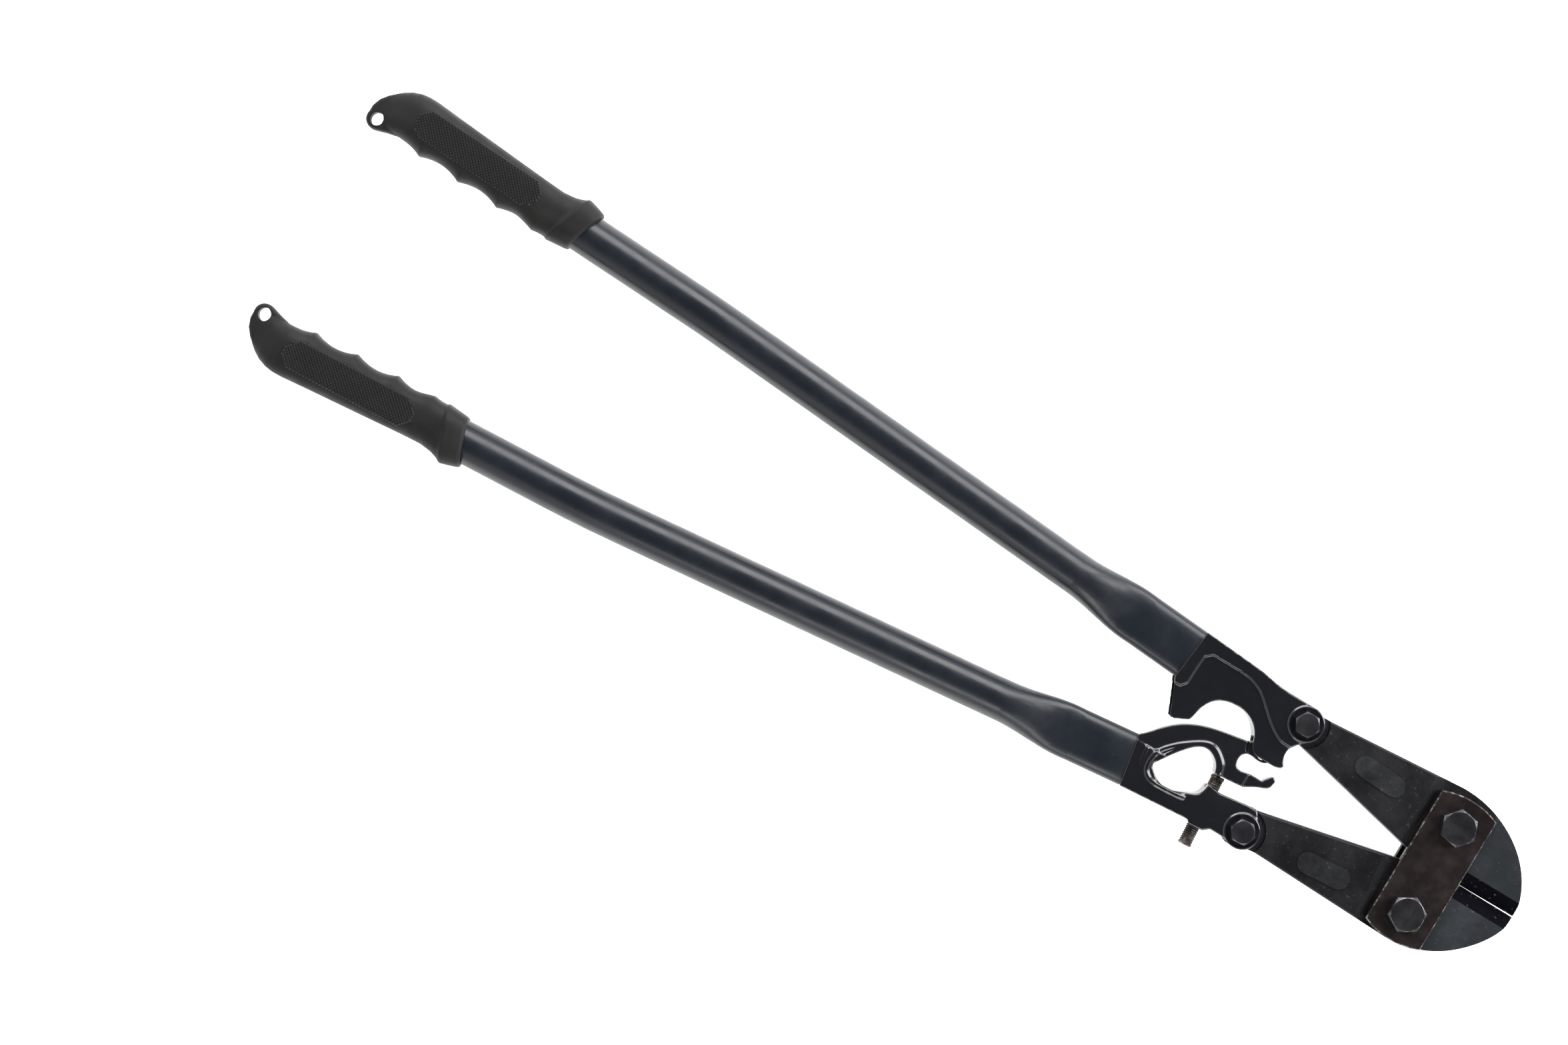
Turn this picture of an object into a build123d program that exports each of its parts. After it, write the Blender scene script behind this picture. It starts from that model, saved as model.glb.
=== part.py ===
from build123d import *

# Long-handled bolt cutters with forged blades and cast handle connectors.
#
# Frame: the origin is midway between the two blade pivots, in the mid-plane of the tool.
# +X runs along the head towards the tips of the jaws, +Y towards the upper handle, and +Z
# towards the face that carries the bolt heads. The tool is modelled with its jaws closed.
# All sizes are millimetres.

import os
from math import acos, atan2, copysign, cos, degrees, hypot, pi, radians, sin, tan

os.makedirs("parts", exist_ok=True)

# ---------------------------------------------------------------------------------------
# Driving dimensions
# ---------------------------------------------------------------------------------------

# Blades and their pivots
PIVOT_HALF_SPACING = 28.05      # each blade pivot, from the mid-line
TAIL_REACH = 101.7              # joint bolts, behind the blade pivots
UPPER_TAIL_HEIGHT = 34.0        # joint bolt of the upper blade, above the mid-line
LOWER_TAIL_HEIGHT = 36.0        # joint bolt of the lower blade, below the mid-line
JAW_REACH = 54.8                # tips of the jaws, ahead of the blade pivots
JAW_HALF_THICKNESS = 6.0        # ground faces of the jaws
BLADE_HALF_THICKNESS = 7.0      # forged body behind the side plates
TAIL_HALF_THICKNESS = 5.5       # machined tails that enter the forks
TAIL_FACE_RADIUS = 14.0         # round step where a tail is machined down
CUT_LINE_HEIGHT = 1.2           # cutting edges, above the mid-line
HEEL_GAP = 0.3                  # between the two blades where they roll on each other
BEND_BLEND = 20.0               # radius that blends the slight bends of a blade's outline
EDGE_ROOT_GAP = 0.1             # between the cutting edges at their roots
BEVEL_WIDTH = 8.4               # cutting bevels, measured in the plane of the tool
EDGE_LAND = 0.8                 # flat left on each cutting edge
BLADE_EDGE_RADIUS = 1.4         # forged edges
PAD_LENGTH = 32.0               # raised stadium pad on each blade
PAD_WIDTH = 12.5
PAD_HEIGHT = 0.5

# Side plates
PLATE_WIDTH = 35.5
PLATE_THICKNESS = 5.5
PLATE_EDGE = 0.7                # chamfer round the outer face
PLATE_CLEARANCE = 0.12          # between a plate and the ground faces

# Fasteners
BLADE_BOLT_DIAMETER = 12.0
BLADE_BOLT_FLATS = 19.0
BLADE_HEAD_HEIGHT = 7.5
BLADE_NUT_HEIGHT = 8.0
BLADE_WASHER_THICKNESS = 2.5
BLADE_WASHER_DIAMETER = 21.0
JOINT_BOLT_DIAMETER = 8.0
JOINT_BOLT_FLATS = 13.0
JOINT_HEAD_HEIGHT = 5.3
JOINT_NUT_HEIGHT = 6.5
JOINT_WASHER_THICKNESS = 2.0
JOINT_WASHER_DIAMETER = 14.8
BOLT_END = 0.8                  # thread standing out of each nut
PIVOT_CLEARANCE = 0.06          # radial, between a pivot bolt and what turns on it
THREAD_CLEARANCE = 0.04         # radial, between a thread and its nut or tapped hole
WASHER_SPLIT = 1.6              # gap in a spring washer

# Connectors
CENTRE_PIVOT_SETBACK = 10.3     # centre pivot, behind the joint bolts
CENTRE_PIVOT_HEIGHT = 11.0      # centre pivot, above the mid-line
CENTRE_PIN_DIAMETER = 7.0
PIN_CLEARANCE = 0.02            # radial, pin in its cheeks
PIN_SKIN = 1.2                  # blind end of the pin's hole, under the front cheek
FORK_HALF_GAP = 5.8             # fork slot that takes a blade's tail
FORK_HALF_THICKNESS = 10.3      # outer faces of the forks
SEAM_HALF_THICKNESS = 7.4       # connector rims where they meet the tubes
TONGUE_HALF_THICKNESS = 5.0     # lower connector's tongue at the centre pivot
TONGUE_SIDE_GAP = 0.4           # between tongue and the upper connector's cheeks
LOBE_HALF_THICKNESS = 8.6       # upper connector's cheeks at the centre pivot
WEB_DROP = 1.7                  # how far the upper connector's web lies below its rims
BOSS_RADIUS = 10.3              # round end of each fork
RING_WIDTH = 1.5                # raised ring round each joint bolt
RING_HEIGHT = 0.9
CASTING_EDGE = 0.8              # chamfers on the castings
JAW_OPENING = 8.0               # degrees each blade turns, closed to open
PIVOT_PLAY = 1.95               # radial play in the tongue's eye at the open centre pivot
EYE_SHIFT_X = -0.80             # centre of the eye from the pivot, with the jaws closed
EYE_SHIFT_Y = -1.71
EYE_WALL = 1.3

# Adjusting screw in the lower connector
SCREW_DIAMETER = 8.0
SCREW_PITCH = 1.25
SCREW_LENGTH = 43.0
SCREW_TILT = 4.2                # degrees, from the tool's cross direction
SCREW_SETBACK = 23.6            # where its axis leaves the casting, behind the joint bolts
SCREW_TIP_GAP = 0.15

# Handle tubes and grips
TUBE_DIAMETER = 24.0
TUBE_WALL = 2.0
FLAT_WIDTH = 30.7               # tube's flattened end, in the plane of the tool
FLAT_THICKNESS = 13.6
FLAT_LENGTH = 33.0
CRIMP_LENGTH = 45.0             # from the flattened end to the round tube
TANG_LENGTH = 27.0
TANG_CLEARANCE = 0.25
UPPER_FRONT_RUN = 328.8         # seam to bend
UPPER_FRONT_ANGLE = 4.03        # degrees outward, going back
UPPER_REAR_ANGLE = 2.5
LOWER_FRONT_RUN = 336.6
LOWER_FRONT_ANGLE = 6.05
LOWER_REAR_ANGLE = 3.3
BEND_RADIUS = 900.0
UPPER_REAR_RUN = 203.5          # bend to the tube's rear end
LOWER_REAR_RUN = 194.8
GRIP_LENGTH = 139.0
GRIP_THICKNESS = 29.0
GRIP_OVERLAP = 118.0            # tube inside each grip
GRIP_FIT = 0.05                 # radial
GROOVE_DEPTH = 3.0              # finger grooves
COLLAR_SWELL = 1.6              # extra thickness of the collar
HANG_HOLE_RADIUS = 4.0
HANG_TAB_THICKNESS = 12.0
HANG_WALL = 2.2

# ---------------------------------------------------------------------------------------
# Places worked out from them
# ---------------------------------------------------------------------------------------

UPPER_PIVOT = (0.0, PIVOT_HALF_SPACING)
LOWER_PIVOT = (0.0, -PIVOT_HALF_SPACING)
UPPER_JOINT = (-TAIL_REACH, UPPER_TAIL_HEIGHT)
LOWER_JOINT = (-TAIL_REACH, -LOWER_TAIL_HEIGHT)
CENTRE_PIVOT = (-TAIL_REACH - CENTRE_PIVOT_SETBACK, CENTRE_PIVOT_HEIGHT)
PLATE_END_RADIUS = PIVOT_HALF_SPACING + 17.2
PLATE_INNER_FACE = JAW_HALF_THICKNESS + PLATE_CLEARANCE
PLATE_OUTER_FACE = PLATE_INNER_FACE + PLATE_THICKNESS
LOBE_HALF_GAP = TONGUE_HALF_THICKNESS + TONGUE_SIDE_GAP
PIN_RADIUS = CENTRE_PIN_DIAMETER / 2
TUBE_RADIUS = TUBE_DIAMETER / 2
EYE_RADIUS = PIN_RADIUS + PIVOT_PLAY
EYE_CENTRE = (CENTRE_PIVOT[0] + EYE_SHIFT_X, CENTRE_PIVOT[1] + EYE_SHIFT_Y)
TONGUE_RADIUS = EYE_RADIUS + EYE_WALL
EYE_REACH = TONGUE_RADIUS + PIVOT_PLAY + 0.35    # farthest the tongue's end comes from the pin
DEEP = 60.0                                      # longer than any cut is thick


def shifted(point, dx, dy):
    """The point moved by dx and dy."""
    return (point[0] + dx, point[1] + dy)


def polar(point, radius, angle):
    """The point moved by radius along angle in degrees."""
    return (point[0] + radius * cos(radians(angle)), point[1] + radius * sin(radians(angle)))


def tangent_point(centre, radius, point, turn):
    """Where a line from the point touches a circle; turn is 1 or -1 for its two sides."""
    dx, dy = point[0] - centre[0], point[1] - centre[1]
    spread = degrees(acos(radius / hypot(dx, dy)))
    return polar(centre, radius, degrees(atan2(dy, dx)) + turn * spread)


def save(part, name):
    """Labels a finished piece and writes it."""
    part.label = name
    export_step(part, f"parts/{name}.step")


def side_profile(stations, plane=Plane.XZ):
    """The side view of a part: half thickness by x, mirrored in the mid-plane.

    stations is a list of (x, half thickness) from the rear forward.
    """
    mirrored = [(x, -half) for x, half in reversed(stations)]
    with BuildSketch(plane) as profile:
        with BuildLine():
            Polyline(*stations, *mirrored, close=True)
        make_face()
    return profile.sketch


def trim_thickness(stations, plane=Plane.XZ):
    """Keeps only what is inside a side view."""
    extrude(side_profile(stations, plane), amount=3 * DEEP, both=True, mode=Mode.INTERSECT)


# ---------------------------------------------------------------------------------------
# Side plates
# ---------------------------------------------------------------------------------------


def side_plate(name, z_inner, z_outer):
    """A rectangular plate with ends turned about the middle of the head."""
    with BuildPart() as plate:
        with BuildSketch(Plane.XY.offset(min(z_inner, z_outer))):
            Circle(PLATE_END_RADIUS)
            Rectangle(PLATE_WIDTH, 2 * PLATE_END_RADIUS, mode=Mode.INTERSECT)
            with Locations(UPPER_PIVOT, LOWER_PIVOT):
                Circle(BLADE_BOLT_DIAMETER / 2 + THREAD_CLEARANCE, mode=Mode.SUBTRACT)
        extrude(amount=PLATE_THICKNESS)
        outer_first = plate.faces().sort_by(Axis.Z, reverse=z_outer > 0)
        rim = outer_first[0].outer_wire().edges()
        chamfer(rim, length=PLATE_EDGE)
    save(plate.part, name)


side_plate("front_side_plate", PLATE_INNER_FACE, PLATE_OUTER_FACE)
side_plate("rear_side_plate", -PLATE_INNER_FACE, -PLATE_OUTER_FACE)

# ---------------------------------------------------------------------------------------
# Blades
# ---------------------------------------------------------------------------------------

HEEL_RADIUS = PIVOT_HALF_SPACING - HEEL_GAP / 2
HEEL_SWEEP = 14.0               # degrees of rolling heel behind the pivots
JAW_ROOT = 17.0                 # the cutting edges start here, under the side plates
TAIL_WALL = 4.2                 # round a joint bolt's hole, on the outside of a tail
SHOULDER = -PLATE_WIDTH / 2 - 0.25   # forged body slopes down to the ground faces here
SHOULDER_RUN = 5.5                   # length of the slope


def blade(name, side, pivot, joint, throat, outer_points, back_edge_end, inner_tail, cut_offset):
    """One forged blade.

    side is 1 for the upper blade and -1 for the lower. throat is the point where its inner
    edge comes out from under the side plates. outer_points run round the back of the jaw
    from the tip. back_edge_end is where the outer edge meets the machined tail, and
    inner_tail where the inner edge does. cut_offset is half the gap at the tips.
    """
    heel_front = (pivot[0], side * HEEL_GAP / 2)
    heel_back = polar(pivot, HEEL_RADIUS, side * -90 - side * HEEL_SWEEP)
    heel_middle = polar(pivot, HEEL_RADIUS, side * -90 - side * HEEL_SWEEP / 2)
    edge_root = (JAW_ROOT, CUT_LINE_HEIGHT + side * EDGE_ROOT_GAP / 2)
    edge_tip = (JAW_REACH - 0.2, CUT_LINE_HEIGHT + side * cut_offset)
    tail_radius = JOINT_BOLT_DIAMETER / 2 + TAIL_WALL
    outer_start = tangent_point(joint, tail_radius, back_edge_end, side)
    tail_end = polar(joint, tail_radius, 180)
    inner_start = tangent_point(joint, tail_radius, inner_tail, -side)
    with BuildPart() as body:
        with BuildSketch():
            with BuildLine():
                Polyline(heel_front, edge_root, edge_tip)
                Spline(edge_tip, *outer_points)
                Polyline(outer_points[-1], back_edge_end, outer_start)
                ThreePointArc(outer_start, tail_end, inner_start)
                Polyline(inner_start, inner_tail, throat, heel_back)
                ThreePointArc(heel_back, heel_middle, heel_front)
            make_face()
            slight_bends = (back_edge_end, outer_points[-1], throat, edge_root)
            blended = [
                vertex
                for vertex in vertices()
                if min(hypot(vertex.X - x, vertex.Y - y) for x, y in slight_bends) < 0.01
            ]
            fillet(blended, radius=BEND_BLEND)
        extrude(amount=BLADE_HALF_THICKNESS, both=True)
        for end in (0, -1):
            forged = [
                edge
                for edge in body.faces().sort_by(Axis.Z)[end].edges()
                if hypot(edge.center().X - joint[0], edge.center().Y - joint[1])
                > TAIL_FACE_RADIUS
            ]
            fillet(forged, radius=BLADE_EDGE_RADIUS)
        trim_thickness(
            [
                (joint[0] - DEEP, BLADE_HALF_THICKNESS),
                (SHOULDER - SHOULDER_RUN, BLADE_HALF_THICKNESS),
                (SHOULDER, JAW_HALF_THICKNESS),
                (JAW_REACH + DEEP, JAW_HALF_THICKNESS),
            ]
        )
        turned = radians(-side * JAW_OPENING)
        open_plane = Plane(
            origin=(*pivot, 0),
            x_dir=(cos(turned), sin(turned), 0),
            z_dir=(sin(turned), -cos(turned), 0),
        )
        trim_thickness(
            [
                (-4 * DEEP, BLADE_HALF_THICKNESS),
                (SHOULDER - SHOULDER_RUN, BLADE_HALF_THICKNESS),
                (SHOULDER, JAW_HALF_THICKNESS),
                (2 * DEEP, JAW_HALF_THICKNESS),
            ],
            open_plane,
        )
        bevel_foot = CUT_LINE_HEIGHT
        bevel_top = CUT_LINE_HEIGHT + side * BEVEL_WIDTH
        for face in (1, -1):
            with BuildSketch(Plane.YZ.offset(JAW_ROOT)):
                with BuildLine():
                    Polyline(
                        (bevel_foot, face * EDGE_LAND / 2),
                        (bevel_top, face * JAW_HALF_THICKNESS),
                        (bevel_top, face * (JAW_HALF_THICKNESS + 3)),
                        (bevel_foot - side * 5, face * (JAW_HALF_THICKNESS + 3)),
                        (bevel_foot - side * 5, face * EDGE_LAND / 2),
                        close=True,
                    )
                make_face()
            extrude(amount=JAW_REACH, mode=Mode.SUBTRACT)
            with BuildSketch(Plane.XY.offset(face * TAIL_HALF_THICKNESS)):
                with Locations(joint):
                    Circle(TAIL_FACE_RADIUS)
            extrude(amount=face * DEEP / 2, mode=Mode.SUBTRACT)
            pad_centre = ((pivot[0] + joint[0]) / 2, (pivot[1] + joint[1]) / 2 - side * 0.7)
            blade_angle = degrees(atan2(pivot[1] - joint[1], pivot[0] - joint[0]))
            with BuildSketch(Plane.XY.offset(face * (BLADE_HALF_THICKNESS - 1))):
                with Locations(Location((*pad_centre, 0), blade_angle)):
                    SlotOverall(PAD_LENGTH, PAD_WIDTH)
            extrude(amount=face * (1 + PAD_HEIGHT))
        with Locations(pivot):
            Hole(BLADE_BOLT_DIAMETER / 2 + PIVOT_CLEARANCE)
        with Locations(joint):
            Hole(JOINT_BOLT_DIAMETER / 2 + PIVOT_CLEARANCE)
    save(body.part, name)


blade(
    "upper_blade",
    1,
    UPPER_PIVOT,
    UPPER_JOINT,
    throat=shifted(UPPER_PIVOT, -21.7, -22.75),
    outer_points=[
        (JAW_REACH - 2.2, 11.0),
        (JAW_REACH - 12.0, 28.0),
        (JAW_REACH - 26.0, 39.6),
        shifted(UPPER_PIVOT, 9.0, 19.5),
        shifted(UPPER_PIVOT, -8.0, 20.9),
    ],
    back_edge_end=shifted(UPPER_JOINT, 12.0, 8.6),
    inner_tail=shifted(UPPER_JOINT, 3.6, -11.6),
    cut_offset=0.35,
)
blade(
    "lower_blade",
    -1,
    LOWER_PIVOT,
    LOWER_JOINT,
    throat=shifted(LOWER_PIVOT, -20.6, 23.8),
    outer_points=[
        (JAW_REACH - 2.6, -9.0),
        (JAW_REACH - 12.5, -24.5),
        (JAW_REACH - 26.5, -36.6),
        shifted(LOWER_PIVOT, 9.0, -16.2),
        shifted(LOWER_PIVOT, -5.0, -17.2),
    ],
    back_edge_end=shifted(LOWER_JOINT, 12.0, -6.6),
    inner_tail=shifted(LOWER_JOINT, 2.5, 14.4),
    cut_offset=0.25,
)

# ---------------------------------------------------------------------------------------
# Fasteners
# ---------------------------------------------------------------------------------------

CROWN_ANGLE = 30.0              # chamfer on hexagon corners
CROWN_FLAT = 0.96               # round top of a hexagon, as a share of its flats


def hex_body(flats, z_low, z_high, crown_low, crown_high, angle):
    """Adds a hexagon to the active part and turns its corners down at the named ends."""
    corner = flats / 2 / cos(radians(30))
    crown = flats / 2 * CROWN_FLAT
    drop = (corner - crown) * tan(radians(CROWN_ANGLE))
    low, low_drop = (crown, drop) if crown_low else (corner, 0)
    high, high_drop = (crown, drop) if crown_high else (corner, 0)
    with BuildSketch(Plane.XY.offset(z_low)) as base:
        RegularPolygon(corner, 6, rotation=angle)
    extrude(base.sketch, amount=z_high - z_low)
    outline = [
        (0, z_low),
        (low, z_low),
        (corner, z_low + low_drop),
        (corner, z_high - high_drop),
        (high, z_high),
        (0, z_high),
    ]
    distinct = [point for i, point in enumerate(outline) if point != outline[i - 1]]
    with BuildSketch(Plane.XZ) as crown_profile:
        with BuildLine():
            Polyline(*distinct, close=True)
        make_face()
    revolve(crown_profile.sketch, axis=Axis.Z, mode=Mode.INTERSECT)


def bolt(name, centre, diameter, flats, head_height, seat, z_end, angle):
    """A hexagon bolt pushed down through the tool from its front face."""
    with BuildPart() as piece:
        hex_body(flats, seat, seat + head_height, False, True, angle)
        with BuildSketch(Plane.XY.offset(z_end)):
            Circle(diameter / 2)
        extrude(amount=seat - z_end)
        chamfer(piece.faces().sort_by(Axis.Z)[0].edges(), length=diameter * 0.08)
    save(piece.part.moved(Location((*centre, 0))), name)


def nut(name, centre, diameter, flats, height, seat, angle):
    """A hexagon nut under the tool; seat is the height of its upper face."""
    with BuildPart() as piece:
        hex_body(flats, seat - height, seat, True, False, angle)
        with Locations((0, 0, seat)):
            Hole(diameter / 2 + THREAD_CLEARANCE, depth=height)
    save(piece.part.moved(Location((*centre, 0))), name)


def spring_washer(name, centre, diameter, outer, thickness, seat, split_angle):
    """A split spring washer pressed flat; seat is the height of its upper face."""
    with BuildPart() as piece:
        with BuildSketch(Plane.XY.offset(seat - thickness)):
            Circle(outer / 2)
            Circle(diameter / 2 + THREAD_CLEARANCE, mode=Mode.SUBTRACT)
            with Locations(Location(polar((0, 0), outer / 2, split_angle), split_angle)):
                Rectangle(outer, WASHER_SPLIT, mode=Mode.SUBTRACT)
        extrude(amount=thickness)
    save(piece.part.moved(Location((*centre, 0))), name)


BLADE_NUT_SEAT = -PLATE_OUTER_FACE - BLADE_WASHER_THICKNESS
BLADE_BOLT_END = BLADE_NUT_SEAT - BLADE_NUT_HEIGHT - BOLT_END
JOINT_NUT_SEAT = -FORK_HALF_THICKNESS - JOINT_WASHER_THICKNESS
JOINT_BOLT_END = JOINT_NUT_SEAT - JOINT_NUT_HEIGHT - BOLT_END

for label, centre, turn in (("upper", UPPER_PIVOT, 50), ("lower", LOWER_PIVOT, 30)):
    bolt(
        f"{label}_blade_bolt",
        centre,
        BLADE_BOLT_DIAMETER,
        BLADE_BOLT_FLATS,
        BLADE_HEAD_HEIGHT,
        PLATE_OUTER_FACE,
        BLADE_BOLT_END,
        turn,
    )
    spring_washer(
        f"{label}_blade_washer",
        centre,
        BLADE_BOLT_DIAMETER,
        BLADE_WASHER_DIAMETER,
        BLADE_WASHER_THICKNESS,
        -PLATE_OUTER_FACE,
        turn + 100,
    )
    nut(
        f"{label}_blade_nut",
        centre,
        BLADE_BOLT_DIAMETER,
        BLADE_BOLT_FLATS,
        BLADE_NUT_HEIGHT,
        BLADE_NUT_SEAT,
        turn + 17,
    )

for label, centre, turn in (("upper", UPPER_JOINT, 0), ("lower", LOWER_JOINT, 5)):
    bolt(
        f"{label}_joint_bolt",
        centre,
        JOINT_BOLT_DIAMETER,
        JOINT_BOLT_FLATS,
        JOINT_HEAD_HEIGHT,
        FORK_HALF_THICKNESS,
        JOINT_BOLT_END,
        turn,
    )
    spring_washer(
        f"{label}_joint_washer",
        centre,
        JOINT_BOLT_DIAMETER,
        JOINT_WASHER_DIAMETER,
        JOINT_WASHER_THICKNESS,
        -FORK_HALF_THICKNESS,
        turn + 200,
    )
    nut(
        f"{label}_joint_nut",
        centre,
        JOINT_BOLT_DIAMETER,
        JOINT_BOLT_FLATS,
        JOINT_NUT_HEIGHT,
        JOINT_NUT_SEAT,
        turn + 21,
    )

# ---------------------------------------------------------------------------------------
# Centre pin
# ---------------------------------------------------------------------------------------

with BuildPart() as centre_pin:
    with BuildSketch(Plane.XY.offset(-LOBE_HALF_THICKNESS)):
        with Locations(CENTRE_PIVOT):
            Circle(PIN_RADIUS)
    extrude(amount=2 * LOBE_HALF_THICKNESS - PIN_SKIN)
    chamfer(centre_pin.faces().sort_by(Axis.Z)[-1].edges(), length=0.5)
save(centre_pin.part, "centre_pin")

# ---------------------------------------------------------------------------------------
# Tube centre lines, shared by the connectors' tangs, the tubes and the grips
# ---------------------------------------------------------------------------------------

UPPER_SEAM_TOP = shifted(UPPER_JOINT, -73.4, 16.0)
UPPER_SEAM_BOTTOM = shifted(UPPER_JOINT, -76.8, -14.4)
LOWER_SEAM_TOP = shifted(LOWER_JOINT, -77.2, 17.2)
LOWER_SEAM_BOTTOM = shifted(LOWER_JOINT, -71.8, -13.4)


def midpoint(first, second):
    """Half way between two points."""
    return ((first[0] + second[0]) / 2, (first[1] + second[1]) / 2)


UPPER_SEAM = midpoint(UPPER_SEAM_TOP, UPPER_SEAM_BOTTOM)
LOWER_SEAM = midpoint(LOWER_SEAM_TOP, LOWER_SEAM_BOTTOM)
UPPER_FRONT_HEADING = 180 - UPPER_FRONT_ANGLE
UPPER_REAR_HEADING = 180 - UPPER_REAR_ANGLE
LOWER_FRONT_HEADING = 180 + LOWER_FRONT_ANGLE
LOWER_REAR_HEADING = 180 + LOWER_REAR_ANGLE
UPPER_BEND = polar(UPPER_SEAM, UPPER_FRONT_RUN, UPPER_FRONT_HEADING)
LOWER_BEND = polar(LOWER_SEAM, LOWER_FRONT_RUN, LOWER_FRONT_HEADING)
UPPER_TUBE_END = polar(UPPER_BEND, UPPER_REAR_RUN, UPPER_REAR_HEADING)
LOWER_TUBE_END = polar(LOWER_BEND, LOWER_REAR_RUN, LOWER_REAR_HEADING)


def across_plane(point, heading):
    """A plane across a run: its X lies in the plane of the tool, its Y is the tool's Z."""
    direction = (cos(radians(heading)), sin(radians(heading)), 0)
    in_plane = (-direction[1], direction[0], 0)
    return Plane(origin=(*point, 0), x_dir=in_plane, z_dir=direction)


def flattened_ring(plane, width, thickness, squareness):
    """The face of a flattened round, from a circle (squareness 2) to a flat-sided oval."""
    count = 24
    points = []
    for step in range(count):
        angle = 2 * pi * step / count
        across = copysign(abs(cos(angle)) ** (2 / squareness), cos(angle))
        over = copysign(abs(sin(angle)) ** (2 / squareness), sin(angle))
        points.append((width / 2 * across, thickness / 2 * over))
    with BuildSketch(plane) as section:
        with BuildLine():
            Spline(*points, periodic=True)
        make_face()
    return section.sketch.faces()[0]


FLAT_SQUARENESS = 3.0
CRIMP_STATIONS = (              # share of the crimp's length, width, thickness, squareness
    (0.0, 1.0, 1.0, 1.0),
    (0.3, 0.9, 0.9, 0.9),
    (0.7, 0.25, 0.2, 0.35),
    (1.0, 0.0, 0.0, 0.0),
)


def flat_section(seam, heading, inset, start):
    """The flattened section at a distance behind the seam, inset all round."""
    return flattened_ring(
        across_plane(polar(seam, start, heading), heading),
        FLAT_WIDTH - 2 * inset,
        FLAT_THICKNESS - 2 * inset,
        FLAT_SQUARENESS,
    )


def crimp_sections(seam, heading, inset):
    """The sections from the flat to the round, inset all round."""
    sections = []
    for share, wide, thick, square in CRIMP_STATIONS:
        station = polar(seam, FLAT_LENGTH + share * CRIMP_LENGTH, heading)
        sections.append(
            flattened_ring(
                across_plane(station, heading),
                TUBE_DIAMETER + wide * (FLAT_WIDTH - TUBE_DIAMETER) - 2 * inset,
                TUBE_DIAMETER - thick * (TUBE_DIAMETER - FLAT_THICKNESS) - 2 * inset,
                2 + square * (FLAT_SQUARENESS - 2),
            )
        )
    return sections


def tube(name, seam, seam_top, seam_bottom, heading, bend, rear_heading, rear_end):
    """One handle tube: flattened at the front, round behind, with a slight bend."""
    lead = 6.0
    direction = (cos(radians(heading)), sin(radians(heading)), 0)
    round_start = polar(seam, FLAT_LENGTH + CRIMP_LENGTH, heading)
    seam_direction = (seam_top[0] - seam_bottom[0], seam_top[1] - seam_bottom[1], 0)
    seam_face = Plane(origin=(*seam, 0), x_dir=seam_direction, z_dir=(
        seam_direction[1], -seam_direction[0], 0))
    with BuildLine() as path:
        FilletPolyline(
            (*round_start, 0), (*bend, 0), (*rear_end, 0), radius=BEND_RADIUS
        )
    with BuildPart() as handle:
        extrude(flat_section(seam, heading, 0, -lead), amount=FLAT_LENGTH + lead, dir=direction)
        loft(crimp_sections(seam, heading, 0))
        sweep(crimp_sections(seam, heading, 0)[-1], path=path.line)
        extrude(
            flat_section(seam, heading, TUBE_WALL, -lead),
            amount=FLAT_LENGTH + lead,
            dir=direction,
            mode=Mode.SUBTRACT,
        )
        loft(crimp_sections(seam, heading, TUBE_WALL), mode=Mode.SUBTRACT)
        sweep(
            crimp_sections(seam, heading, TUBE_WALL)[-1], path=path.line, mode=Mode.SUBTRACT
        )
        split(bisect_by=seam_face, keep=Keep.BOTTOM)
    save(handle.part, name)


tube(
    "upper_tube",
    UPPER_SEAM,
    UPPER_SEAM_TOP,
    UPPER_SEAM_BOTTOM,
    UPPER_FRONT_HEADING,
    UPPER_BEND,
    UPPER_REAR_HEADING,
    UPPER_TUBE_END,
)
tube(
    "lower_tube",
    LOWER_SEAM,
    LOWER_SEAM_TOP,
    LOWER_SEAM_BOTTOM,
    LOWER_FRONT_HEADING,
    LOWER_BEND,
    LOWER_REAR_HEADING,
    LOWER_TUBE_END,
)


def tang(seam, heading):
    """Adds the tang that goes into a tube's flattened end."""
    inset = TUBE_WALL + TANG_CLEARANCE
    section = flat_section(seam, heading, inset, -8.0)
    direction = (cos(radians(heading)), sin(radians(heading)), 0)
    extrude(section, amount=TANG_LENGTH + 8.0, dir=direction)


# ---------------------------------------------------------------------------------------
# Connectors
# ---------------------------------------------------------------------------------------


def fork_slot(joint, root_radius, first_angle, last_angle, half_gap, reach=2.2 * DEEP):
    """Cuts a fork slot: round at its root and open between two directions, out to reach."""
    middle_angle = (first_angle + last_angle) / 2
    with BuildSketch(Plane.XY.offset(-half_gap)) as slot:
        with Locations(joint):
            Circle(root_radius)
        with BuildLine():
            Polyline(
                joint,
                polar(joint, reach, first_angle),
                polar(joint, reach, middle_angle),
                polar(joint, reach, last_angle),
                close=True,
            )
        make_face()
    extrude(slot.sketch, amount=2 * half_gap, mode=Mode.SUBTRACT)


def raised_ring(joint, half_thickness):
    """Adds the raised ring round a joint bolt on both faces."""
    for face in (1, -1):
        with BuildSketch(Plane.XY.offset(face * (half_thickness - RING_HEIGHT))) as ring:
            with Locations(joint):
                Circle(BOSS_RADIUS)
                Circle(BOSS_RADIUS - RING_WIDTH, mode=Mode.SUBTRACT)
        extrude(ring.sketch, amount=face * 2 * RING_HEIGHT)


RAMP_REAR = UPPER_JOINT[0] - 72.0           # rims rise from the tubes to the forks
RAMP_FRONT = UPPER_JOINT[0] - 24.0
CUT_OUT_CENTRE = shifted(UPPER_JOINT, -36.6, -27.9)
CUT_OUT_RADIUS = 16.9
LOBE_BOTTOM = CENTRE_PIVOT[1] - 6.6         # lower edge of the cheeks at the centre pivot


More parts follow.
